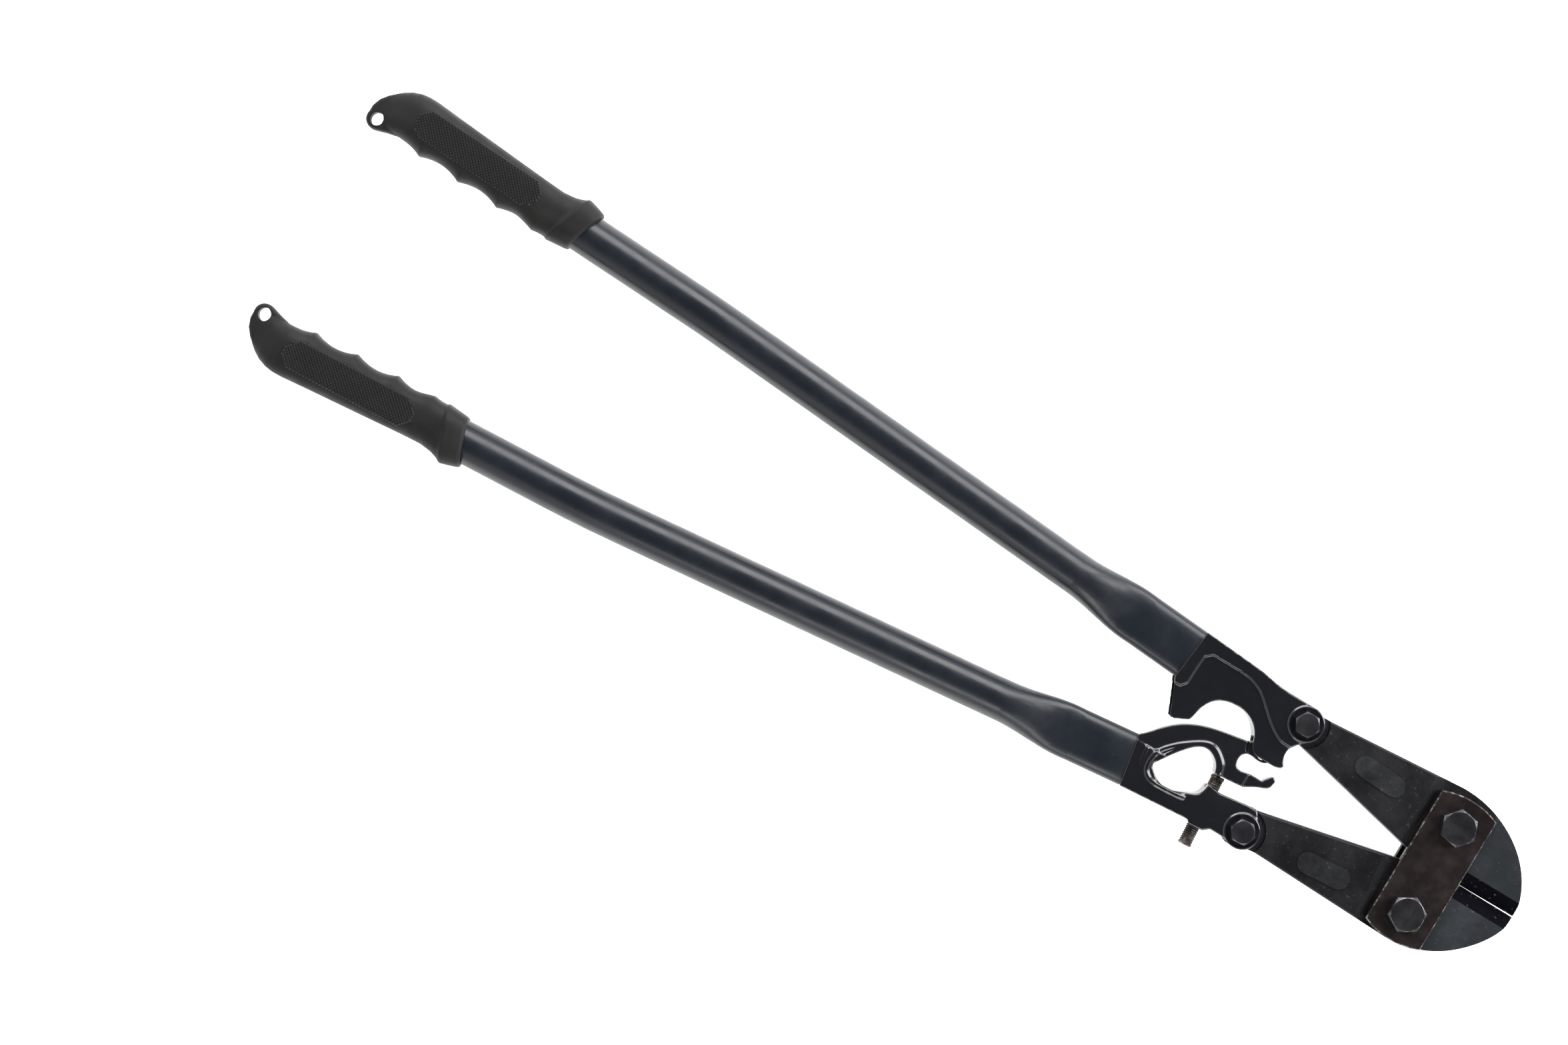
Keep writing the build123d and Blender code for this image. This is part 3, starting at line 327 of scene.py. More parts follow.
@dataclass(frozen=True)
class JawSteel:
    """Forged tool steel: dark oxide, with blued grinding on the jaw, and bevels painted dark as the
    shade of their slope.
    """

    name: str
    forged: Colour = (0.0150, 0.0150, 0.0172)
    ground: Colour = (0.048, 0.054, 0.061)
    # painted shade: this dark colour on the bevels stands in for the shade of their slope
    bevel_shade: Colour = (0.0022, 0.0022, 0.0034)
    # lighter pad colour: partly wear, partly a painted highlight in place of the pads' lit edges
    pad: Colour = (0.033, 0.034, 0.036)
    fleck: Colour = (0.2, 0.2, 0.2)
    pad_level: float = 0.0072
    jaw_start: float = 0.0174
    bevel_line: float = 0.0012
    bevel_width: float = 0.0084

    def build(self) -> bpy.types.Material:
        """Returns the finish as a material."""
        g = Graph(self.name)
        on_jaw = g.ramp(g.axis("X"), self.jaw_start - 0.0006, self.jaw_start + 0.0002)
        from_line = g.maths("ABSOLUTE", g.maths("SUBTRACT", g.axis("Y"), self.bevel_line))
        on_bevel = g.maths(
            "MULTIPLY",
            g.ramp(from_line, self.bevel_width + 0.0001, self.bevel_width - 0.0001),
            on_jaw,
        )
        clouds = g.noise(45.0, 5.0, 0.62)
        grinding = g.noise(1.0, 3.0, 0.6, g.stretched((260.0, 2600.0, 260.0), 35.0))
        flecks = g.ramp(g.noise(420.0, 3.0, 0.6), 0.62, 0.72)
        forged = g.varied(clouds, self.forged, 0.55, 1.7)
        ground = g.varied(g.maths("MULTIPLY", grinding, clouds), self.ground, 0.72, 1.45)
        # painted shade along the cutting edge: the bevels are coloured dark for their slope
        bevel_shade = g.varied(grinding, self.bevel_shade, 0.6, 1.35)
        surface = g.blend(on_bevel, g.blend(on_jaw, forged, ground), bevel_shade)
        # pad tops painted lighter and mottled: partly wear, partly painted highlight for their lit
        # edges
        on_pad = g.ramp(g.maths("ABSOLUTE", g.axis("Z")), self.pad_level, self.pad_level + 0.0002)
        pad_wear_and_highlight = g.maths("MULTIPLY", on_pad, g.ramp(g.noise(150.0, 5.0, 0.7), 0.3, 0.7, 0.35, 1.0))
        surface = g.blend(pad_wear_and_highlight, surface, self.pad)
        surface = g.blend(g.maths("MULTIPLY", flecks, 0.22), surface, self.fleck)
        g.put(g.shader.inputs["Base Color"], surface)
        metal = g.maths("ADD", g.maths("MULTIPLY", on_bevel, 0.15), 0.85)
        g.put(g.shader.inputs["Metallic"], metal)
        g.put(
            g.shader.inputs["Roughness"],
            g.ramp(g.maths("ADD", clouds, g.maths("MULTIPLY", on_jaw, -0.2)), 0.2, 0.8, 0.34, 0.55),
        )
        g.bump(grinding, 0.00002, 0.5)
        off_jaw = g.noise(520.0, 4.0, 0.6), g.maths("SUBTRACT", 1.0, on_jaw)
        g.bump(g.maths("MULTIPLY", *off_jaw), 0.00022, 0.55)
        return g.material


@dataclass(frozen=True)
class OxideSteel:
    """Oxide-blackened steel: mottled faces, with chamfers and edges painted bright, partly as wear and
    partly as painted highlight.
    """

    name: str
    colour: Colour = (0.040, 0.038, 0.036)
    stain: Colour = (0.050, 0.032, 0.026)
    # bright colour: wear in the scratches, and wear with painted highlight on the chamfers
    bright: Colour = (0.42, 0.41, 0.40)
    rough: float = 0.42
    wear: Wear = Wear.EDGES
    shine: float = 0.75

    def build(self) -> bpy.types.Material:
        """Returns the finish as a material."""
        g = Graph(self.name)
        mottle = g.noise(60.0, 5.0, 0.65)
        surface = g.varied(mottle, self.colour, 0.6, 1.6)
        surface = g.blend(g.ramp(g.noise(26.0, 4.0, 0.6), 0.5, 0.68), surface, self.stain)
        # sloped faces painted bright: partly wear, partly a painted highlight where side light catches
        # them
        facing = g.facing()
        chamfers = g.maths("MULTIPLY", g.ramp(facing, 0.18, 0.3), g.ramp(facing, 0.97, 0.9))
        chamfer_wear_and_highlight = g.maths("MULTIPLY", chamfers, g.ramp(g.noise(180.0, 4.0, 0.7), 0.47, 0.64))
        surface = g.blend(chamfer_wear_and_highlight, surface, self.bright)
        if self.wear is Wear.SCRATCHES:
            lines = g.noise(1.0, 2.0, 0.5, g.stretched((2200.0, 160.0, 300.0), 28.0))
            surface = g.blend(g.ramp(lines, 0.74, 0.78, 0.0, 0.7), surface, self.bright)
        g.put(g.shader.inputs["Base Color"], surface)
        g.shader.inputs["Metallic"].default_value = self.shine
        g.put(
            g.shader.inputs["Roughness"],
            g.ramp(mottle, 0.3, 0.75, self.rough - 0.08, self.rough + 0.14),
        )
        g.bump(g.noise(900.0, 3.0, 0.6), 0.00006, 0.5)
        return g.material


@dataclass(frozen=True)
class GripRubber:
    """Moulded matte rubber, olive-black, a little dusty in its texture."""

    name: str
    colour: Colour = (0.0062, 0.0062, 0.0060)

    def build(self) -> bpy.types.Material:
        """Returns the finish as a material."""
        g = Graph(self.name)
        dust = g.maths("MULTIPLY", g.noise(30.0, 5.0, 0.65), g.noise(900.0, 3.0, 0.7))
        g.put(g.shader.inputs["Base Color"], g.varied(dust, self.colour, 0.8, 2.1))
        g.put(g.shader.inputs["Roughness"], g.ramp(g.noise(80.0, 4.0), 0.3, 0.7, 0.5, 0.66))
        g.shader.inputs["Specular IOR Level"].default_value = 0.22
        g.shader.inputs["Sheen Weight"].default_value = 0.03
        g.shader.inputs["Sheen Roughness"].default_value = 0.4
        g.bump(g.noise(1600.0, 3.0, 0.6), 0.00009, 0.6)
        return g.material


# ---------------------------------------------------------------------------------------
# Mesh helpers
# ---------------------------------------------------------------------------------------


def smooth_shade(mesh: bpy.types.Mesh) -> None:
    """Shades every face of a mesh smooth."""
    mesh.polygons.foreach_set("use_smooth", [True] * len(mesh.polygons))
    mesh.update()


def baked(obj: bpy.types.Object) -> None:
    """Turns an object's evaluated shape into its plain mesh and removes its modifiers."""
    graph = bpy.context.evaluated_depsgraph_get()
    mesh = bpy.data.meshes.new_from_object(obj.evaluated_get(graph))
    obj.modifiers.clear()
    obj.data = mesh


def new_object(name: str, mesh: bpy.types.Mesh) -> bpy.types.Object:
    """A new object at the origin, linked to the scene."""
    obj = bpy.data.objects.new(name, mesh)
    bpy.context.scene.collection.objects.link(obj)
    return obj


def finished(shell: bmesh.types.BMesh, name: str) -> bpy.types.Mesh:
    """Writes a mesh being built to a new mesh, and frees it."""
    mesh = bpy.data.meshes.new(name)
    shell.to_mesh(mesh)
    shell.free()
    return mesh


def paint_node(node: bpy.types.Object, finish: bpy.types.Material) -> None:
    """Puts one finish on all of a CAD node's slots.

    Args:
        node: The CAD node's object.
        finish: The finish.
    """
    for index in range(max(1, len(node.material_slots))):
        if index < len(node.material_slots):
            node.material_slots[index].material = finish
        else:
            node.data.materials.append(finish)


def merged_copy(node: str, name: str) -> bpy.types.Object:
    """A copy of a CAD node with its loose triangles joined into a closed skin.

    Args:
        node: The CAD node.
        name: The copy's name.

    Returns:
        The new object.
    """
    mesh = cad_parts[node].data.copy()
    shell = bmesh.new()
    shell.from_mesh(mesh)
    bmesh.ops.remove_doubles(shell, verts=shell.verts, dist=SAME_POINT)
    shell.to_mesh(mesh)
    shell.free()
    mesh.materials.clear()
    for attribute in [a.name for a in mesh.attributes if a.name.startswith("custom_normal")]:
        mesh.attributes.remove(mesh.attributes[attribute])
    return new_object(name, mesh)


def rounded(obj: bpy.types.Object, voxel: float, passes: int) -> None:
    """Remeshes a closed shape evenly and rounds its edges, as thick paint does.

    Args:
        obj: The object.
        voxel: The new mesh's spacing, in metres.
        passes: How many times the surface is smoothed.
    """
    remesh = obj.modifiers.new("even", "REMESH")
    remesh.mode = "VOXEL"
    remesh.voxel_size = voxel
    remesh.use_smooth_shade = True
    relax = obj.modifiers.new("relax", "SMOOTH")
    relax.factor = 0.5
    relax.iterations = passes
    baked(obj)


def softened(
    obj: bpy.types.Object, passes: int, joint: tuple[float, float], land: float, fade: float
) -> None:
    """Widens the steps in a casting's faces, except near its joint bolt.

    Args:
        obj: The casting.
        passes: How many times its height is smoothed.
        joint: The bolt's x and y, in metres.
        land: The radius round the bolt that is left as it is, in metres.
        fade: How far beyond that the smoothing takes to reach full strength, in metres.
    """
    group = obj.vertex_groups.new(name="soft")
    for vertex in obj.data.vertices:
        gap = math.hypot(vertex.co.x - joint[0], vertex.co.y - joint[1]) - land
        group.add([vertex.index], min(max(gap / fade, 0.0), 1.0), "REPLACE")
    relax = obj.modifiers.new("soft", "SMOOTH")
    relax.factor = 0.5
    relax.iterations = passes
    relax.use_x = relax.use_y = False
    relax.vertex_group = "soft"
    baked(obj)
    obj.vertex_groups.clear()


def read_off(points: Line, distance: float) -> float:
    """The height of a broken line of (distance, height) points at a distance."""
    places, heights = zip(*points)
    return float(np.interp(distance, places, heights))


def smooth_line(points: Line, count: int) -> list[tuple[float, float]]:
    """Points spaced along a smooth curve through the given ones.

    Args:
        points: The points it passes through.
        count: How many points each span gets.

    Returns:
        The curve's points.
    """
    given = np.array([points[0], *points, points[-1]])
    found = []
    for before, start, end, after in zip(given, given[1:], given[2:], given[3:]):
        for t in np.linspace(0, 1, count, endpoint=False):
            blend = (
                2 * start
                + (end - before) * t
                + (2 * before - 5 * start + 4 * end - after) * t**2
                + (3 * start - before - 3 * end + after) * t**3
            ) / 2
            found.append((float(blend[0]), float(blend[1])))
    return [*found, points[-1]]


def bead(path: list[Vector], radius: float, sides: int = 12) -> bpy.types.Object:
    """A closed round bead along a path, with its ends drawn in.

    Args:
        path: The middle of the bead, in metres.
        radius: Its radius, in metres.
        sides: How many corners its section has.

    Returns:
        The bead as a new object.
    """
    shell = bmesh.new()
    rings = []
    last = len(path) - 1
    for index, point in enumerate(path):
        heading = (path[min(index + 1, last)] - path[max(index - 1, 0)]).normalized()
        across = heading.cross(Vector((0, 0, 1))).normalized()
        over = across.cross(heading)
        size = radius * (0.4 if index in (0, last) else 1.0)
        ring = []
        for step in range(sides):
            angle = 2 * math.pi * step / sides
            offset = across * (size * math.cos(angle)) + over * (size * math.sin(angle))
            ring.append(shell.verts.new(point + offset))
        rings.append(ring)
    bridge(shell, rings)
    shell.faces.new(rings[0])
    shell.faces.new(rings[-1])
    bmesh.ops.recalc_face_normals(shell, faces=shell.faces)
    return new_object("bead", finished(shell, "bead"))


def bridge(shell: bmesh.types.BMesh, rings: list[list[bmesh.types.BMVert]]) -> None:
    """Joins rings of equal count with faces, each to the next."""
    for first, second in zip(rings, rings[1:]):
        for step, vertex in enumerate(first):
            after = (step + 1) % len(first)
            shell.faces.new((vertex, first[after], second[after], second[step]))


def joined(obj: bpy.types.Object, extra: list[bpy.types.Object]) -> None:
    """Adds the meshes of other objects to an object, and removes them."""
    shell = bmesh.new()
    shell.from_mesh(obj.data)
    for other in extra:
        shell.from_mesh(other.data)
        bpy.data.objects.remove(other)
    shell.to_mesh(obj.data)
    shell.free()


def cut(obj: bpy.types.Object, tool: bpy.types.Object) -> None:
    """Cuts a closed tool shape out of an object, and removes the tool."""
    difference = obj.modifiers.new("cut", "BOOLEAN")
    difference.operation = "DIFFERENCE"
    difference.object = tool
    difference.solver = "EXACT"
    baked(obj)
    bpy.data.objects.remove(tool)


def cylinder(start: Vector, end: Vector, radius: float, sides: int = 96) -> bpy.types.Object:
    """A closed cylinder between two points, used as a cutting tool.

    Args:
        start: The middle of one end, in metres.
        end: The middle of the other.
        radius: Its radius, in metres.
        sides: How many sides it has.

    Returns:
        The cylinder as a new object.
    """
    shell = bmesh.new()
    direction = end - start
    turn = direction.to_track_quat("Z", "Y").to_matrix().to_4x4()
    place = Matrix.Translation((start + end) / 2) @ turn
    bmesh.ops.create_cone(
        shell,
        cap_ends=True,
        segments=sides,
        radius1=radius,
        radius2=radius,
        depth=direction.length,
        matrix=place,
    )
    return new_object("tool", finished(shell, "tool"))


# ---------------------------------------------------------------------------------------
# Sub-assemblies
# ---------------------------------------------------------------------------------------


@dataclass
class Head:
    """The cutting head: blades, side plates and everything that bolts them together."""

    blade: JawSteel = field(default_factory=lambda: JawSteel("jaw_steel"))
    plate: OxideSteel = field(
        default_factory=lambda: OxideSteel(
            "plate_steel",
            (0.018, 0.0135, 0.0125),
            (0.009, 0.006, 0.0055),
            # bright chamfer colour: wear and painted highlight
            (0.2, 0.19, 0.18),
            0.4,
        )
    )
    fastener: OxideSteel = field(
        default_factory=lambda: OxideSteel(
            "fastener_steel",
            (0.022, 0.022, 0.025),
            (0.013, 0.013, 0.015),
            # bright chamfer colour: wear and painted highlight
            (0.11, 0.11, 0.12),
            0.36,
            Wear.SCRATCHES,
        )
    )

    def dress(self) -> None:
        """Gives the head's CAD nodes their finishes."""
        blade, plate, fastener = (f.build() for f in (self.blade, self.plate, self.fastener))
        for name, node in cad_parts.items():
            if name.endswith("_blade"):
                finish = blade
            elif name.endswith("_plate"):
                finish = plate
            elif name.endswith(("_bolt", "_nut", "_washer")) or name == "centre_pin":
                finish = fastener
            else:
                continue
            paint_node(node, finish)
            LOG.info("head: %s in %s", name, finish.name)


@dataclass
class Connectors:
    """The two painted castings between the tubes and the blades, and the stop screw.

    Lengths and places are in millimetres.
    """

    spacing: float = 0.45
    passes: int = 9
    soft: int = 16
    bead_radius: float = 1.4
    bead_sink: float = 0.3
    bar_radius: float = 1.0
    bead_steps: int = 8
    lowest_face: float = 5.0  # a surface nearer the middle plane than this is inside a slot
    joint_land: float = 12.0
    joint_fade: float = 3.0
    joints: dict[Handle, tuple[float, float]] = field(
        default_factory=lambda: {Handle.UPPER: (-101.7, 34.0), Handle.LOWER: (-101.7, -36.0)}
    )
    rim: Line = (
        (-138.6, -36.6),
        (-146.0, -37.6),
        (-158.8, -38.0),
        (-164.6, -34.8),
        (-166.2, -28.6),
        (-163.8, -20.4),
        (-153.8, -10.4),
        (-141.0, -3.4),
        (-130.9, -9.2),
        (-128.4, -16.5),
    )
    bar: Line = ((-171.4, -22.2), (-170.6, -27.0), (-169.3, -33.6))
    paint: CastPaint = field(default_factory=lambda: CastPaint("cast_paint"))
    screw: OxideSteel = field(
        default_factory=lambda: OxideSteel(
            # the last colour paints the chamfers bright: wear and painted highlight
            "screw_steel", (0.055, 0.047, 0.043), (0.035, 0.027, 0.023), (0.2, 0.18, 0.16), 0.42
        )
    )

    def beads(
        self, piece: bpy.types.Object, points: Line, radius: float
    ) -> list[bpy.types.Object]:
        """Beads along a line on both faces of a casting.

        Args:
            piece: The casting.
            points: The line, in millimetres.
            radius: The bead's radius, in millimetres.

        Returns:
            The bead on each face.
        """
        bpy.context.view_layer.update()
        line = smooth_line(points, self.bead_steps)
        found = []
        for face in (1, -1):
            heights = []
            for x, y in line:
                start = Vector((x * MM, y * MM, face * RAY_HEIGHT))
                hit, place, _, _ = piece.ray_cast(start, Vector((0, 0, -face)))
                on_face = hit and abs(place.z) > self.lowest_face * MM
                heights.append(place.z if on_face else None)
            known = [h for h in heights if h is not None]
            level = sum(known) / len(known)
            path = [
                Vector((x * MM, y * MM, (level if h is None else h) - face * self.bead_sink * MM))
                for (x, y), h in zip(line, heights)
            ]
            found.append(bead(path, radius * MM))
        return found

    def casting(self, side: Handle, paint: bpy.types.Material) -> None:
        """Replaces one connector by its rounded, painted copy.

        Args:
            side: The handle it belongs to.
            paint: Its finish.
        """
        node = f"{side.label}_connector"
        piece = merged_copy(node, f"{node}_casting")
        if side is Handle.LOWER:
            beads = [
                *self.beads(piece, self.rim, self.bead_radius),
                *self.beads(piece, self.bar, self.bar_radius),
            ]
            joined(piece, beads)
        rounded(piece, self.spacing * MM, self.passes)
        x, y = self.joints[side]
        softened(
            piece, self.soft, (x * MM, y * MM), self.joint_land * MM, self.joint_fade * MM
        )
        piece.data.materials.clear()
        piece.data.materials.append(paint)
        smooth_shade(piece.data)
        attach(piece, side.body)
        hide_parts(node)
        LOG.info("connectors: %s, %d faces", piece.name, len(piece.data.polygons))

    def build(self) -> None:
        """Builds both castings and dresses the screw."""
        paint = self.paint.build()
        for side in Handle:
            self.casting(side, paint)
        paint_node(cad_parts["adjusting_screw"], self.screw.build())


@dataclass(frozen=True)
class GripAxes:
    """The middle of a grip's front, and its directions back along the tube and outward."""

    front: Vector
    along: Vector
    outward: Vector

    def place(self, back: float, out: float) -> Vector:
        """The point so far back along the tube and out from its middle, in millimetres."""
        return self.front + self.along * (back * MM) + self.outward * (out * MM)


@dataclass
class Grips:
    """The rubber grips: collar, finger grooves, knurled panels and a tab to hang up by.

    Lengths, in millimetres, run back from the collar's front along the tube, and out from
    its middle.
    """

    spacing: float = 0.55
    passes: int = 2
    sides: int = 112
    bore_radius: float = 12.05
    overlap: float = 118.0
    starts: dict[Handle, tuple[float, float, float]] = field(
        default_factory=lambda: {
            Handle.UPPER: (-590.205, 61.636, 2.5),
            Handle.LOWER: (-587.597, -73.997, 3.3),
        }
    )
    hang_radius: float = 4.0
    hang_wall: float = 2.2
    hang_place: tuple[float, float] = (132.8, -11.2)
    slant: float = 0.28
    slant_fade: Line = ((14.0, 1.0), (40.0, 0.0))
    collar_end: float = 14.0
    collar_inner: Line = ((0.0, 12.8), (0.5, 13.3), (1.6, 13.6), (12.8, 15.2), (14.0, 14.6))
    heel_start: float = 112.0
    heel_inner: Line = ((112.0, 13.2), (118.0, 13.0), (128.0, 14.0), (134.0, 13.0))
    groove_first: float = 50.0
    groove_step: float = 26.0
    groove_depth: float = 3.0
    groove_power: float = 0.85
    groove_start: Line = ((14.0, 0.25), (26.0, 0.55), (40.0, 1.0))
    groove_finish: Line = ((102.0, 1.0), (112.0, 0.9))
    bump_depth: float = 15.8
    neck_drop: float = 0.9
    panel: tuple[float, float, float, float] = (31.0, 113.0, 1.2, 9.2)
    knurl_pitch: float = 2.1
    knurl_height: float = 0.72
    knurl_base: float = 0.66
    knurl_top: float = 0.13
    knurl_margin: float = 0.6
    squareness: float = 3.2
    rubber: GripRubber = field(default_factory=lambda: GripRubber("grip_rubber"))
    shape: tuple[tuple[float, float, float], ...] = (
        # distance, outer side, half thickness
        (0.0, 13.4, 13.3),
        (0.5, 14.0, 14.1),
        (1.6, 14.6, 14.8),
        (6.0, 15.8, 15.6),
        (11.4, 17.0, 16.0),
        (12.6, 17.0, 15.9),
        (13.2, 16.2, 15.2),
        (14.6, 15.2, 14.7),
        (18.0, 13.6, 14.4),
        (24.0, 12.5, 14.3),
        (34.0, 12.7, 14.3),
        (60.0, 13.7, 14.4),
        (90.0, 14.8, 14.4),
        (108.0, 15.6, 14.2),
        (114.0, 15.5, 13.4),
        (119.0, 14.6, 11.8),
        (124.0, 12.6, 9.8),
        (128.0, 9.9, 8.0),
        (131.0, 7.2, 6.9),
        (134.0, 3.6, 5.6),
    )
    fine_until: float = 15.0
    fine_step: float = 0.4
    coarse_step: float = 1.0
    tab_half: float = 6.0
    tab_middle: tuple[float, float] = (124.0, -2.0)
    tab_inner: Line = ((110.0, -12.0), (118.0, -12.9), (124.0, -14.6))
    tab_turn: tuple[float, float] = (-112.0, 14.0)
    tab_outer: Line = (
        (139.0, -6.0),
        (137.4, -1.0),
        (134.2, 3.6),
        (129.8, 7.8),
        (124.0, 11.2),
        (116.0, 13.6),
        (110.0, 14.2),
    )
    tab_layers: Line = ((-1.0, -1.1), (-0.72, 0.0), (0.72, 0.0), (1.0, -1.1))

    def inner_side(self, distance: float) -> float:
        """How far the inner side lies below the middle, with its finger grooves.

        Args:
            distance: How far back along the tube.

        Returns:
            The depth.
        """
        if distance < self.collar_end:
            return read_off(self.collar_inner, distance)
        if distance > self.heel_start:
            return read_off(self.heel_inner, distance)
        cusp = self.groove_first - self.groove_step
        wave = abs(math.sin(math.pi * (distance - cusp) / self.groove_step)) ** self.groove_power
        early = read_off(self.groove_start, distance)
        late = read_off(self.groove_finish, distance)
        return self.bump_depth - self.neck_drop * (1 - early) - self.groove_depth * wave * early * late

    def section(self, distance: float) -> tuple[float, float, float]:
        """The inner side, outer side and half thickness at a distance."""
        outer = read_off(tuple((back, out) for back, out, _ in self.shape), distance)
        half = read_off(tuple((back, thick) for back, _, thick in self.shape), distance)
        return -self.inner_side(distance), outer, half

    def axes(self, side: Handle) -> GripAxes:
        """Where a grip starts and which way it runs."""
        x, y, tilt = self.starts[side]
        angle = math.radians(tilt)
        return GripAxes(
            Vector((x * MM, y * MM, 0.0)),
            Vector((-math.cos(angle), side.value * math.sin(angle), 0.0)),
            Vector((math.sin(angle), side.value * math.cos(angle), 0.0)),
        )

    def ring(
        self, shell: bmesh.types.BMesh, axes: GripAxes, distance: float
    ) -> list[bmesh.types.BMVert]:
        """Adds one rounded-square section to a mesh being built.

        Args:
            shell: The mesh.
            axes: The grip's axes.
            distance: How far back along the tube.

        Returns:
            The section's corners in turn.
        """
        inner, outer, half = self.section(distance)
        shear = self.slant * read_off(self.slant_fade, distance)
        power = 2 / self.squareness
        ring = []
        for step in range(self.sides):
            angle = 2 * math.pi * step / self.sides
            c, s = math.cos(angle), math.sin(angle)
            across = math.copysign(abs(c) ** power, c)
            over = math.copysign(abs(s) ** power, s)
            out = (inner + outer) / 2 + across * (outer - inner) / 2
            point = axes.place(distance - shear * out, out)
            ring.append(shell.verts.new((point.x, point.y, over * half * MM)))
        return ring

    def skin(self, axes: GripAxes) -> bpy.types.Mesh:
        """The grip's closed skin, before its holes.

        Args:
            axes: The grip's axes.

        Returns:
            The mesh.
        """
        end = self.shape[-1][0]
        fine = np.arange(0.0, self.fine_until, self.fine_step)
        coarse = np.arange(self.fine_until, end + 0.01, self.coarse_step)
        shell = bmesh.new()
        rings = [self.ring(shell, axes, float(d)) for d in np.concatenate([fine, coarse])]
        bridge(shell, rings)
        shell.faces.new(rings[0])
        shell.faces.new(rings[-1])
        self.tab(shell, axes)
        bmesh.ops.recalc_face_normals(shell, faces=shell.faces)
        return finished(shell, "grip")

    def tab(self, shell: bmesh.types.BMesh, axes: GripAxes) -> None:
        """Adds the flat tab at the grip's end to a mesh being built.

        Args:
            shell: The mesh.
            axes: The grip's axes.
        """
        corner = self.hang_radius + self.hang_wall
        back, out = self.hang_place
        turns = [math.radians(float(angle)) for angle in np.linspace(*self.tab_turn, 20)]
        rounding = [(back + corner * math.cos(a), out + corner * math.sin(a)) for a in turns]
        middle = Vector(self.tab_middle)
        loops = []
        for level, grow in self.tab_layers:
            loop = []
            for spot in (*self.tab_inner, *rounding, *self.tab_outer):
                offset = Vector(spot) - middle
                offset *= 1 + grow / offset.length
                point = axes.place(*(middle + offset))
                loop.append(shell.verts.new((point.x, point.y, level * self.tab_half * MM)))
            loops.append(loop)
        bridge(shell, loops)
        shell.faces.new(loops[0])
        shell.faces.new(loops[-1])

    def panel_points(self, body: bpy.types.Object, axes: GripAxes) -> bpy.types.Mesh:
        """Points on both faces where the knurl's diamonds stand, with their normals.

        Args:
            body: The finished grip body.
            axes: The grip's axes.

        Returns:
            A mesh of loose points with a vector attribute named facing.
        """
        start, end, middle, half_width = self.panel
        places, facings = [], []
        rows = int((end - start) / self.knurl_pitch * 2)
        columns = int(2 * half_width / self.knurl_pitch * 2)
        for row in range(rows + 1):
            for column in range(row % 2, columns + 1, 2):
                back = start + row * self.knurl_pitch / 2
                out = middle - half_width + column * self.knurl_pitch / 2
                nearest = min(max(back, start + half_width), end - half_width)
                if math.hypot(back - nearest, out - middle) > half_width - self.knurl_margin:
                    continue
                flat = axes.place(back, out)
                for face in (1, -1):
                    above = Vector((flat.x, flat.y, face * RAY_HEIGHT))
                    hit, place, normal, _ = body.ray_cast(above, Vector((0, 0, -face)))
                    if hit:
                        places.append(place)
                        facings.append(normal)
        mesh = bpy.data.meshes.new("knurl_points")
        mesh.from_pydata(places, [], [])
        attribute = mesh.attributes.new("facing", "FLOAT_VECTOR", "POINT")
        attribute.data.foreach_set("vector", np.array(facings, np.float32).ravel())
        return mesh

    def knurl(
        self, points: bpy.types.Mesh, side: Handle, rubber: bpy.types.Material
    ) -> bpy.types.Object:
        """The diamonds of the panels, one small pyramid at each point.

        Args:
            points: The points, with their facing attribute.
            side: The handle.
            rubber: The finish.

        Returns:
            The knurl as a plain mesh object.
        """
        piece = new_object(f"{side.label}_knurl", points)
        tree = bpy.data.node_groups.new("knurl", "GeometryNodeTree")
        tree.interface.new_socket("Geometry", in_out="INPUT", socket_type="NodeSocketGeometry")
        pitch = tree.interface.new_socket("Pitch", in_out="INPUT", socket_type="NodeSocketFloat")
        height = tree.interface.new_socket("Height", in_out="INPUT", socket_type="NodeSocketFloat")
        tree.interface.new_socket("Geometry", in_out="OUTPUT", socket_type="NodeSocketGeometry")
        add, link = tree.nodes.new, tree.links.new
        source, output = add("NodeGroupInput"), add("NodeGroupOutput")
        cone = add("GeometryNodeMeshCone")
        cone.inputs["Vertices"].default_value = 4
        cone.fill_type = "NGON"
        for end, share in (("Radius Bottom", self.knurl_base), ("Radius Top", self.knurl_top)):
            radius = add("ShaderNodeMath")
            radius.operation = "MULTIPLY"
            radius.inputs[1].default_value = share
            link(source.outputs["Pitch"], radius.inputs[0])
            link(radius.outputs[0], cone.inputs[end])
        link(source.outputs["Height"], cone.inputs["Depth"])
        facing = add("GeometryNodeInputNamedAttribute")
        facing.data_type = "FLOAT_VECTOR"
        facing.inputs["Name"].default_value = "facing"
        align = add("FunctionNodeAlignRotationToVector")
        align.axis = "Z"
        link(facing.outputs["Attribute"], align.inputs["Vector"])
        instance = add("GeometryNodeInstanceOnPoints")
        link(source.outputs["Geometry"], instance.inputs["Points"])
        link(cone.outputs["Mesh"], instance.inputs["Instance"])
        link(align.outputs["Rotation"], instance.inputs["Rotation"])
        real = add("GeometryNodeRealizeInstances")
        link(instance.outputs["Instances"], real.inputs["Geometry"])
        dress = add("GeometryNodeSetMaterial")
        dress.inputs["Material"].default_value = rubber
        link(real.outputs["Geometry"], dress.inputs["Geometry"])
        link(dress.outputs["Geometry"], output.inputs["Geometry"])
        modifier = piece.modifiers.new("knurl", "NODES")
        modifier.node_group = tree
        modifier[pitch.identifier] = self.knurl_pitch * MM
        modifier[height.identifier] = self.knurl_height * MM
        baked(piece)
        return piece

